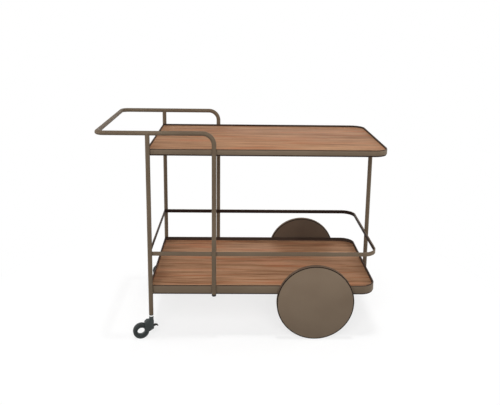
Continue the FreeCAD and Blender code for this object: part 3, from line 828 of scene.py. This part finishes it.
def bar_at(name, low, high):
    """A straight bar that fills a box, open for editing."""
    centre = (low + high) / 2
    clear_selection()
    bpy.ops.mesh.primitive_cube_add(size=1, location=centre)
    bpy.ops.transform.resize(value=high - low, center_override=centre)
    return open_piece(name)


def guard_rail_end():
    """The short bar across the handle end."""
    piece = bar_at("guard_rail_end", *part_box("guard_rail_end_bar"))
    close_piece()
    finish_rail(piece, "guard_rail_end_bar")


guard_rail_bar()
guard_rail_end()

# %% [markdown]
# ## The bent tubes
# The handle and both inner legs are one long tube, bent on a mandrel: up a leg, over, along the rail,
# across the grip and back again. A curve with a round bevel could draw it, but building it like the bender
# does is closer to the real thing: a ring of tube wall is pushed along each straight run and spun round
# each bend. The wall gets its thickness at the end.

# %% Tubes
TUBE_RADIUS = 8.0 * MM
TUBE_WALL = 1.5 * MM
TUBE_FACETS = 32
BEND_STEPS = 14


def start_ring(name, radius, facets, place):
    """A bare ring of edges, open for editing."""
    clear_selection()
    bpy.ops.mesh.primitive_circle_add(vertices=facets, radius=radius, fill_type="NOTHING", location=place)
    return open_piece(name)


def bend(centre, axis):
    """A quarter bend about a centre."""
    bpy.ops.mesh.spin(steps=BEND_STEPS, angle=QUARTER_TURN, center=centre, axis=axis)


def end_tube(piece, node):
    """Closes the seams between runs and bends, and gives the tube its wall."""
    tidy_faces()
    close_piece()
    give_gauge(piece, TUBE_WALL)
    # The tubes take a darker copy of the coat, as painted shade.
    hand_over(piece, "frame", [node], shaded_tube_coat)


print("tube", 2 * TUBE_RADIUS / MM, "mm across")

# %% Handle and inner legs
DROP_RADIUS = 40.0 * MM
GRIP_RADIUS = 26.0 * MM
HANDLE_LOW, HANDLE_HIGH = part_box("handle_tube")
INNER_LEG_X = HANDLE_HIGH.x - TUBE_RADIUS
INNER_LEG_Y = HANDLE_HIGH.y - TUBE_RADIUS
RAIL_CENTRE = HANDLE_HIGH.z - TUBE_RADIUS


def push_handle():
    """Front leg, rail, grip, rail and back leg in one length of tube."""
    drop_x, drop_z = INNER_LEG_X - DROP_RADIUS, RAIL_CENTRE - DROP_RADIUS
    turn_x, turn_y = HANDLE_LOW.x + TUBE_RADIUS + GRIP_RADIUS, INNER_LEG_Y - GRIP_RADIUS
    leg_height = drop_z - HANDLE_LOW.z
    rail_length = drop_x - turn_x
    foot = (INNER_LEG_X, -INNER_LEG_Y, HANDLE_LOW.z)
    piece = start_ring("push_handle_tube", TUBE_RADIUS, TUBE_FACETS, foot)
    push(0, 0, leg_height)
    bend((drop_x, -INNER_LEG_Y, drop_z), (0, 1, 0))
    push(-rail_length, 0, 0)
    bend((turn_x, -turn_y, RAIL_CENTRE), (0, 0, 1))
    push(0, 2 * turn_y, 0)
    bend((turn_x, turn_y, RAIL_CENTRE), (0, 0, 1))
    push(rail_length, 0, 0)
    bend((drop_x, INNER_LEG_Y, drop_z), (0, -1, 0))
    push(0, 0, -leg_height)
    end_tube(piece, "handle_tube")


push_handle()

# %% Straight legs
def straight_leg(name, node, top):
    """An upright tube from the foot of a node to a height."""
    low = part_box(node)[0]
    x, y = centre_of(node)[:2]
    piece = start_ring(name, TUBE_RADIUS, TUBE_FACETS, (x, y, low.z))
    push(0, 0, top - low.z)
    end_tube(piece, node)


straight_leg("front_leg_tube", "front_outer_post", RAIL_CENTRE)
straight_leg("back_leg_tube", "back_outer_post", RAIL_CENTRE)
straight_leg("end_leg_tube", "end_post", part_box("end_post")[1].z)

# %% [markdown]
# ## Turned pieces
# Wheels, collars, plugs and screws are all round about an axis. Such a piece grows along Z, ring by ring:
# a circle is extruded and resized to the next radius, again and again, as on a lathe. A piece with a hole
# through it ends on the ring where it began, and the two rings are merged.

# %% Growing a turned piece
def turned(name, rings, facets, hollow=False):
    """A turned piece from rings of radius and height in millimetres."""
    radius, height = rings[0]
    piece = start_ring(name, radius * MM, facets, (0, 0, height * MM))
    for wider, higher in rings[1:] + ([rings[0]] if hollow else []):
        push(0, 0, (higher - height) * MM)
        share = wider / radius
        bpy.ops.transform.resize(value=(share, share, 1), center_override=(0, 0, higher * MM))
        radius, height = wider, higher
    if not hollow:
        bpy.ops.mesh.edge_face_add()
        pick("EDGE", lambda edge: edge.is_boundary)
        bpy.ops.mesh.edge_face_add()
    tidy_faces()
    close_piece()
    return piece


print("turned pieces grow ring by ring")

# %% [markdown]
# ## The large wheels
# Each wheel is a pressed steel pan on a hub, closed by a flat steel face that snaps in, with a thin rubber
# tyre round the edge. The hub, bush, washer and nut stay as the CAD made them, since the face hides them.
# The three pressed and moulded pieces are turned once, with their outer side up, and copied to both sides.

# %% Where the wheels stand
AXLE_X, _, AXLE_Z = centre_of("axle")
WHEEL_STAND = ((QUARTER_TURN, 0, 0), (AXLE_X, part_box("back_wheel_dish")[0].y, AXLE_Z))


def to_both_sides(piece, stand, name, node, body, finish=None):
    """Copies a piece to the front and the back, with its turn and place mirrored, and hands both over."""
    turn, (x, y, z) = stand
    for side, direction in SIDES.items():
        made = copy_piece(piece, side + "_" + name)
        place_piece(made, [-direction * angle for angle in turn], (x, direction * y, z))
        owner = body if body == "frame" else side + "_" + body
        hand_over(made, owner, [side + "_" + node], finish)
    bpy.data.objects.remove(piece)


print("the axle lies", round(AXLE_X / MM, 1), "mm along and", round(AXLE_Z / MM, 1), "mm up")

# %% Wheel pieces
WHEEL_FACETS = 128
WHEEL_FACE_RINGS = [(132.0, 17.0), (135.6, 17.9), (136.0, 18.3), (136.0, 19.2), (135.75, 19.7),
                    (135.2, 20.0)]
PAN_RINGS = [(14.2, 2.0), (14.2, 0.0), (134.6, 0.0), (135.6, 0.4), (136.0, 1.4), (136.0, 17.8),
             (134.0, 17.8), (134.0, 2.0)]
TYRE_RINGS = [(136.0, 1.0), (138.6, 1.0), (139.6, 1.4), (140.0, 2.4), (140.0, 17.6), (139.6, 18.6),
              (138.6, 19.0), (136.0, 19.0)]
TREAD_RADIUS = 138.8 * MM
TREAD = 1  # where the tyre keeps its second finish


def tyre_with_tread():
    """The rubber tyre, dark on its walls and paler brown where it runs on the floor."""
    piece = turned("tyre", TYRE_RINGS, WHEEL_FACETS, True)
    piece.data.materials.append(dark_rubber)
    piece.data.materials.append(pale_brown_tread)
    paint_faces(piece, TREAD,
                lambda face: middle(face).xy.length > TREAD_RADIUS and abs(face.normal.z) < ON_EDGE)
    return piece


wheel_face = turned("face", WHEEL_FACE_RINGS, WHEEL_FACETS)
wheel_pan = turned("pan", PAN_RINGS, WHEEL_FACETS, True)
# The faces take a paler copy of the coat as painted light, and the pans a darker one as painted shade.
to_both_sides(wheel_face, WHEEL_STAND, "wheel_face", "wheel_cover", "wheel", lit_face_coat)
to_both_sides(wheel_pan, WHEEL_STAND, "wheel_pan", "wheel_dish", "wheel", shaded_pan_coat)
to_both_sides(tyre_with_tread(), WHEEL_STAND, "wheel_rubber", "wheel_tyre", "wheel")

# %% [markdown]
# ## The casters
# A caster has an open eye: its soft tyre runs round a fixed ring instead of on an axle, with a rib in a
# groove that keeps it from slipping off. A yoke holds that ring and carries the brake pedal, and a bright
# collar stands between the yoke and the leg. All of it is modelled about the caster's own stem, trailing
# straight along -X, and then turned outwards as it stands at rest.

# %% Where the casters stand
CASTER_YAW = math.radians(18.0)
LEG_X = centre_of("back_outer_post")[0]
LEG_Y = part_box("back_outer_post")[1].y - TUBE_RADIUS
CASTER_STAND = ((0, 0, CASTER_YAW), (LEG_X, LEG_Y, 0))
CASTER_RADIUS = 29.0
TYRE_CENTRE = mm(-38.0, 0.0, CASTER_RADIUS)


def mirrored(rings):
    """Rings up to the middle of a piece with two like sides, then their mirror images."""
    return rings + [(radius, -height) for radius, height in reversed(rings)]


def lay_across(piece, centre):
    """Turns a piece so that its axis lies along Y, through a centre."""
    place_piece(piece, (QUARTER_TURN, 0, 0), centre)
    return piece


print("caster stems stand at", round(LEG_X / MM, 1), "and", round(LEG_Y / MM, 1), "mm to each side")

# %% Tyre, ring, collar and socket
CASTER_FACETS = 72
COLLAR_FACETS = 48
CASTER_TYRE_RINGS = mirrored([(18.8, -2.5), (20.0, -2.5), (20.0, -5.4), (21.9, -7.5), (22.8, -8.0),
                              (26.0, -8.0), (27.6, -7.6), (28.6, -6.6), (CASTER_RADIUS, -5.0)])
CASTER_RACE_RINGS = mirrored([(14.0, -7.3), (14.4, -7.9), (15.0, -8.2), (17.0, -8.2), (17.8, -7.7),
                              (19.6, -5.4), (19.6, -2.8), (18.5, -2.8)])
COLLAR_RINGS = [(5.0, 58.6), (5.0, 80.3), (6.9, 80.3), (7.4, 80.6), (7.5, 81.2), (7.5, 84.4), (7.4, 85.0),
                (6.9, 85.3), (4.0, 85.3), (4.0, 111.0)]
SOCKET_RINGS = [(4.1, 85.3), (7.2, 85.3), (7.8, 85.6), (8.0, 86.2), (8.0, 87.6), (7.8, 88.1), (7.4, 88.3),
                (6.4, 88.3), (6.4, 114.8), (5.9, 115.3), (4.1, 115.3)]

tread = lay_across(turned("tread", CASTER_TYRE_RINGS, CASTER_FACETS, True), TYRE_CENTRE)
race = lay_across(turned("race", CASTER_RACE_RINGS, CASTER_FACETS, True), TYRE_CENTRE)
collar = turned("collar", COLLAR_RINGS, COLLAR_FACETS)
socket = turned("socket", SOCKET_RINGS, COLLAR_FACETS, True)
for piece, name, node, body, slot, finish in [
    (tread, "caster_tread", "caster_tyre", "caster_wheel", "charcoal_tyre", soft_tread),
    (race, "caster_race", "caster_core", "caster", "charcoal_moulding", charcoal),
    (collar, "caster_collar", "caster_stem", "frame", "bright_steel", nickel),
    (socket, "leg_socket", "caster_socket", "frame", "charcoal_moulding", black_cap),
]:
    to_both_sides(piece, CASTER_STAND, name, node, body, finish)

# %% [markdown]
# The yoke is one moulding. It starts as a block, two slopes are cut off it with bisect, and its side edges
# are rounded. A round boss for the stem is added and the room for the tyre and the slot for the pedal are
# taken out with Boolean modifiers, which is how a mould maker would think of it too: a body, less its
# cores.

# %% Yoke
YOKE_BLOCK = (mm(-25.0, -11.0, 26.0), mm(7.5, 11.0, 67.0))
YOKE_SLOPES = [((-25.0, 0.0, 59.0), (-8.0, 0.0, 8.0)), ((-9.0, 0.0, 26.0), (8.5, 0.0, -16.5))]
YOKE_ROUNDING = 2.0 * MM
YOKE_EASE = 0.35 * MM
BOSS_RINGS = [(6.6, 56.5), (7.6, 56.9), (8.0, 57.9), (8.0, 79.0), (7.7, 79.7), (7.0, 80.0)]
TYRE_ROOM_RINGS = mirrored([(30.0, -8.3)])
TYRE_ROOM_FACETS = 96
PEDAL_SLOT = (mm(-13.0, -6.5, 29.0), mm(8.5, 6.5, 47.0))


def trim(point, normal):
    """Cuts off what lies beyond a plane and closes the cut. Bisect wants a normal no longer than one."""
    bpy.ops.mesh.select_all(action="SELECT")
    bpy.ops.mesh.bisect(plane_co=mm(*point), plane_no=Vector(normal).normalized(),
                        use_fill=True, clear_outer=True)


def combine(piece, other, operation):
    """Adds another closed piece to this one, or takes it away, and removes the other."""
    choose(piece)
    use_modifier(piece, "BOOLEAN", object=other, operation=operation, solver="EXACT")
    bpy.data.objects.remove(other)


def caster_yoke():
    """Boss, two cheeks beside the tyre, and a slot for the pedal."""
    yoke = bar_at("yoke", *YOKE_BLOCK)
    for point, normal in YOKE_SLOPES:
        trim(point, normal)
    pick("EDGE", lambda edge: at(abs(middle(edge).y), YOKE_BLOCK[1].y))
    round_edges(YOKE_ROUNDING, segments=4)
    tidy_faces()
    close_piece()
    combine(yoke, turned("boss", BOSS_RINGS, COLLAR_FACETS), "UNION")
    tyre_room = turned("tyre_room", TYRE_ROOM_RINGS, TYRE_ROOM_FACETS)
    combine(yoke, lay_across(tyre_room, TYRE_CENTRE), "DIFFERENCE")
    slot = bar_at("slot", *PEDAL_SLOT)
    close_piece()
    combine(yoke, slot, "DIFFERENCE")
    ease_edges(yoke, YOKE_EASE)
    return yoke


to_both_sides(caster_yoke(), CASTER_STAND, "caster_yoke", "caster_housing", "caster",
              charcoal)

# %% [markdown]
# The brake pedal is a bowed lever with a hub on a pin. Its end face is drawn outwards step by step, lifted
# and thinned as it goes, so the bow is smooth. Three low ribs across its top give a shoe some grip.

# %% Pedal blade and ribs
PIN = mm(1.0, 0.0, 40.0)
PEDAL_HALF_WIDTH = 6.0
BLADE_ROOT = 6.0  # the blade's thickness at the pin
BLADE_EASE = 0.7 * MM
RIB_EASE = 0.3 * MM
# How far from the pin, how high above it and how thick the blade is at each step.
PEDAL_STEPS = [(5.0, 1.9, 5.2), (9.0, 3.4, 4.2), (12.0, 4.6, 3.5), (14.5, 5.0, 3.2), (17.0, 4.05, 3.1),
               (20.0, 2.7, 3.0), (22.2, 1.75, 2.7), (23.0, 1.4, 1.8)]
RIB_PLACES = (15.5, 18.0, 20.5)
RIB_HEIGHT = 6.0
RIB_FALL = 0.44  # how much lower a rib lies for each millimetre further out
RIB_HALF_SIZE = mm(0.6, 4.8, 0.45)


def pedal_blade():
    """The bowed blade from the pin to the toe."""
    low = PIN + mm(-1.0, -PEDAL_HALF_WIDTH, -BLADE_ROOT / 2)
    high = PIN + mm(0.0, PEDAL_HALF_WIDTH, BLADE_ROOT / 2)
    blade = bar_at("blade", low, high)
    reach, lift, depth = 0.0, 0.0, BLADE_ROOT
    pick("FACE", lambda face: face.normal.x > FACING)
    for forward, upward, thin in PEDAL_STEPS:
        push(*mm(forward - reach, 0, upward - lift))
        here = PIN + mm(forward, 0, upward)
        bpy.ops.transform.resize(value=(1, 1, thin / depth), center_override=here)
        reach, lift, depth = forward, upward, thin
    tidy_faces()
    close_piece()
    ease_edges(blade, BLADE_EASE, segments=3)
    return blade


def pedal_rib(forward):
    """A low rounded rib across the toe."""
    here = PIN + mm(forward, 0, RIB_HEIGHT - RIB_FALL * (forward - RIB_PLACES[0]))
    rib = bar_at("rib", here - RIB_HALF_SIZE, here + RIB_HALF_SIZE)
    close_piece()
    ease_edges(rib, RIB_EASE)
    return rib


print("the blade is drawn out in", len(PEDAL_STEPS), "steps and has", len(RIB_PLACES), "ribs")

# %% Pedal hub and brake arm
HUB_RINGS = mirrored([(3.8, -6.0), (4.2, -5.6)])
HUB_FACETS = 40
ARM_RINGS = mirrored([(1.2, -6.0), (2.0, -5.2)])
ARM_FACETS = 24
ARM_RADIUS = 2.0
ARM_FLANK = -1.2 * MM  # the tip's faces beyond this are drawn out to the pin
BRAKE_SWING = math.radians(20.0)
BRAKE_GAP = 0.5  # between the arm's tip and the tread with the pedal pressed


def brake_arm():
    """The short arm that swings its rounded tip up to the tread."""
    to_tyre = TYRE_CENTRE - PIN
    angle = math.atan2(to_tyre.z, to_tyre.x) + BRAKE_SWING
    reach = to_tyre.length - (CASTER_RADIUS + BRAKE_GAP + ARM_RADIUS) * MM
    arm = turned("arm", ARM_RINGS, ARM_FACETS)
    edit_piece()
    pick("FACE", lambda face: middle(face).x < ARM_FLANK and abs(face.normal.z) < ON_EDGE)
    push(-reach, 0, 0)
    tidy_faces()
    close_piece()
    tip = PIN + Vector((math.cos(angle), 0, math.sin(angle))) * reach
    place_piece(arm, (QUARTER_TURN, -angle, 0), tip)
    return arm


hub = lay_across(turned("hub", HUB_RINGS, HUB_FACETS), PIN)
pedal = join_pieces("pedal", [pedal_blade(), hub, brake_arm()] + [pedal_rib(place) for place in RIB_PLACES])
to_both_sides(pedal, CASTER_STAND, "brake_pedal", "brake_lever", "brake", black_cap)

# %% [markdown]
# ## Under the trays
# The boards rest on flat slats that are welded between the rims, and are screwed down from below. Nobody
# looks there often, but the slats, screws, axle angles and end plate are what hold the trolley together,
# so they get eased edges and drives that a screwdriver fits.

# %% Slats
SLAT_HALF_WIDTH = 12.5 * MM
SLAT_EASE = 0.8 * MM
AXLE_SLAT_HALF_WIDTH = 22.0 * MM


def slat_row(name, node, places, half_width):
    """Flat slats across a tray at places along X, as one piece."""
    low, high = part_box(node)
    slats = []
    for x in places:
        near = Vector((x - half_width, low.y, low.z))
        far = Vector((x + half_width, high.y, high.z))
        slats.append(bar_at("slat", near, far))
        close_piece()
        ease_edges(slats[-1], SLAT_EASE)
    # The slats take the darker inner coat, as painted shade under the trays.
    hand_over(join_pieces(name, slats), "frame", [node], shaded_inner_coat)


def end_places(node):
    """Centres of the first and last slats of a row."""
    low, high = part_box(node)
    return low.x + SLAT_HALF_WIDTH, high.x - SLAT_HALF_WIDTH


top_first, top_last = end_places("top_slats")
top_stations = [top_first, (top_first + top_last) / 2, top_last]
bottom_first, bottom_last = end_places("bottom_slats")
bottom_stations = [bottom_first, (bottom_first + AXLE_X) / 2, bottom_last]
slat_row("upper_cross_slats", "top_slats", top_stations, SLAT_HALF_WIDTH)
slat_row("lower_cross_slats", "bottom_slats", bottom_stations, SLAT_HALF_WIDTH)
slat_row("axle_cross_slat", "axle_slat", [AXLE_X], AXLE_SLAT_HALF_WIDTH)

# %% Axle angles
FOLD_RADIUS = 4.0 * MM
CHIN_RADIUS = 14.0 * MM
ANGLE_GAUGE = 4.0 * MM
PLATE_EASE = 0.5 * MM


def axle_angle(side, direction):
    """A folded angle: a foot under the slat and an upright plate with a rounded chin round the axle."""
    node = side + "_axle_bracket"
    low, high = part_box(node)
    face_y = direction * max(abs(low.y), abs(high.y))
    inner_y = face_y - direction * ANGLE_GAUGE
    foot_end = direction * min(abs(low.y), abs(high.y))
    near = Vector((low.x, min(face_y, inner_y), low.z))
    far = Vector((high.x, max(face_y, inner_y), high.z))
    piece = bar_at(side + "_axle_angle", near, far)
    bpy.ops.mesh.bisect(plane_co=(0, 0, high.z - ANGLE_GAUGE), plane_no=(0, 0, 1))
    pick("FACE", lambda face: face.normal.y * direction < -FACING and middle(face).z > high.z - ANGLE_GAUGE)
    push(0, foot_end - inner_y, 0)
    pick("EDGE", lambda edge: at(middle(edge).z, low.z) and at(middle(edge).y, (face_y + inner_y) / 2))
    round_edges(CHIN_RADIUS, segments=8)
    pick("EDGE", lambda edge: at(middle(edge).z, high.z) and at(middle(edge).y, face_y))
    round_edges(FOLD_RADIUS, segments=5)
    tidy_faces()
    close_piece()
    ease_edges(piece, PLATE_EASE)
    hand_over(piece, "frame", [node], outer_coat)


for side, direction in SIDES.items():
    axle_angle(side, direction)

# %% End plate and tube caps
PLATE_CORNER = 6.0 * MM
CAP_RINGS = [(5.4, 0.0), (7.2, 0.4), (7.8, 1.2), (8.0, 2.2), (8.0, 7.0), (6.4, 7.0), (6.4, 19.0)]
CAP_FACETS = 40


def end_plate():
    """The plate on the end leg, with rounded corners."""
    node = "end_post_bracket"
    piece = bar_at("end_leg_plate", *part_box(node))
    pick("EDGE", lambda edge: at(middle(edge).z, centre_of(node)[2]))
    round_edges(PLATE_CORNER, segments=5)
    tidy_faces()
    close_piece()
    ease_edges(piece, PLATE_EASE)
    hand_over(piece, "frame", [node], outer_coat)


def row_of(name, master, places, height):
    """Copies of a piece at places along X and Y and at one height, as one piece."""
    made = []
    for x, y in places:
        made.append(copy_piece(master, "copy"))
        place_piece(made[-1], (0, 0, 0), (x, y, height))
    return join_pieces(name, made)


def tube_caps():
    """Push-in caps in the three open tube ends, with domed heads."""
    node = "post_end_plugs"
    low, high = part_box(node)
    places = [(INNER_LEG_X, -INNER_LEG_Y), (INNER_LEG_X, INNER_LEG_Y), (high.x - TUBE_RADIUS, 0.0)]
    cap = turned("cap", CAP_RINGS, CAP_FACETS)
    hand_over(row_of("tube_end_caps", cap, places, low.z), "frame", [node], black_cap)
    bpy.data.objects.remove(cap)


end_plate()
tube_caps()

# %% [markdown]
# A screw is turned like the rest, then its head gets a drive: the end face is drawn in, pushed down, and
# every other pair of its points is pulled towards the middle, which leaves a six-lobed socket. One screw
# is modelled and copied to every place where the CAD has one.

# %% Screws and bolts
DRIVE_FACETS = 24
LOBE = 2 * math.pi / 6
VALLEY_START = 0.45 * LOBE
VALLEY_DRAW = 0.74
WOOD_SCREW_RINGS = [(2.6, -2.5), (3.4, -2.1), (3.9, -1.2), (4.0, -0.3), (3.9, 0.0), (2.0, 0.0), (2.0, 9.0)]
ANGLE_BOLT_RINGS = [(4.2, -4.0), (4.8, -3.7), (5.0, -3.2), (5.0, -0.2), (4.9, 0.0), (3.0, 0.0), (3.0, 7.9)]


def driven_fastener(name, rings, drive_radius, drive_depth):
    """A screw or bolt, head downwards, with a six-lobed socket in its head."""
    piece = turned(name, rings, DRIVE_FACETS)
    bottom = rings[0][1] * MM
    edit_piece()
    pick("FACE", lambda face: at(middle(face).z, bottom) and face.normal.z < -FACING)
    bpy.ops.mesh.inset(thickness=(rings[0][0] - drive_radius) * MM, depth=0)
    push(0, 0, drive_depth * MM)

    def in_valley(point):
        if point.co.xy.length > drive_radius * MM + NEAR or point.co.z > bottom + drive_depth * MM + NEAR:
            return False
        return (math.atan2(point.co.y, point.co.x) % LOBE) > VALLEY_START

    pick("VERT", in_valley)
    bpy.ops.transform.resize(value=(VALLEY_DRAW, VALLEY_DRAW, 1), center_override=(0, 0, bottom))
    tidy_faces()
    close_piece()
    return piece


screw = driven_fastener("wood_screw", WOOD_SCREW_RINGS, drive_radius=1.7, drive_depth=1.2)
bolt = driven_fastener("angle_bolt", ANGLE_BOLT_RINGS, drive_radius=2.6, drive_depth=2.2)
print("one screw and one bolt, with", len(screw.data.polygons), "and", len(bolt.data.polygons), "faces")

# %% Fitting the screws
SCREW_RADIUS = 4.0 * MM
SCREW_HEAD = 2.5 * MM
BOLT_RADIUS = 5.0 * MM
BOLT_HEAD = 4.0 * MM


def outermost(node, head_radius):
    """Stations along X of the first and last fasteners of a node, and how far they lie to each side."""
    low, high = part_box(node)
    return [low.x + head_radius, high.x - head_radius], high.y - head_radius


def fit_fasteners(name, node, master, stations, reach, head):
    """Copies a fastener to the front and the back at every station of a node."""
    places = [(x, direction * reach) for x in stations for direction in SIDES.values()]
    piece = row_of(name, master, places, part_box(node)[0].z + head)
    hand_over(piece, "frame", [node], zinc)


board_reach = outermost("top_panel_screws", SCREW_RADIUS)[1]
plate_stations, plate_reach = outermost("end_bracket_screws", SCREW_RADIUS)
bolt_stations, bolt_reach = outermost("axle_bracket_bolts", BOLT_RADIUS)
lower_stations = bottom_stations + [AXLE_X]
for name, node, master, stations, reach, head in [
    ("upper_board_fixings", "top_panel_screws", screw, top_stations, board_reach, SCREW_HEAD),
    ("lower_board_fixings", "bottom_panel_screws", screw, lower_stations, board_reach, SCREW_HEAD),
    ("end_plate_fixings", "end_bracket_screws", screw, plate_stations, plate_reach, SCREW_HEAD),
    ("axle_angle_bolts", "axle_bracket_bolts", bolt, bolt_stations, bolt_reach, BOLT_HEAD),
]:
    fit_fasteners(name, node, master, stations, reach, head)
bpy.data.objects.remove(screw)
bpy.data.objects.remove(bolt)

# %% [markdown]
# ## Pieces that stay as the CAD made them
# The axle, its spacers, hubs, bushes, washers, nuts and brake pins are plain turned steel and nylon, and
# most of them are hidden. Their shape is right as it is, so they only get the finishes mixed above.

# %% Finishes for the CAD pieces
CAD_FINISHES = {"axle": zinc, "axle_spacers": zinc, "axle_washers": zinc, "axle_nuts": zinc}
for side in SIDES:
    CAD_FINISHES[side + "_wheel_hub"] = zinc
    CAD_FINISHES[side + "_wheel_bush"] = nylon
    CAD_FINISHES[side + "_brake_pin"] = black_steel
for node, finish in CAD_FINISHES.items():
    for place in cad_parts[node].material_slots:
        place.material = finish
left = [name for name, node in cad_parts.items() if not node.hide_render and name not in CAD_FINISHES]
print(len(CAD_FINISHES), "CAD pieces finished, and left without a finish:", left)

# %% Finish
bpy.context.view_layer.update()
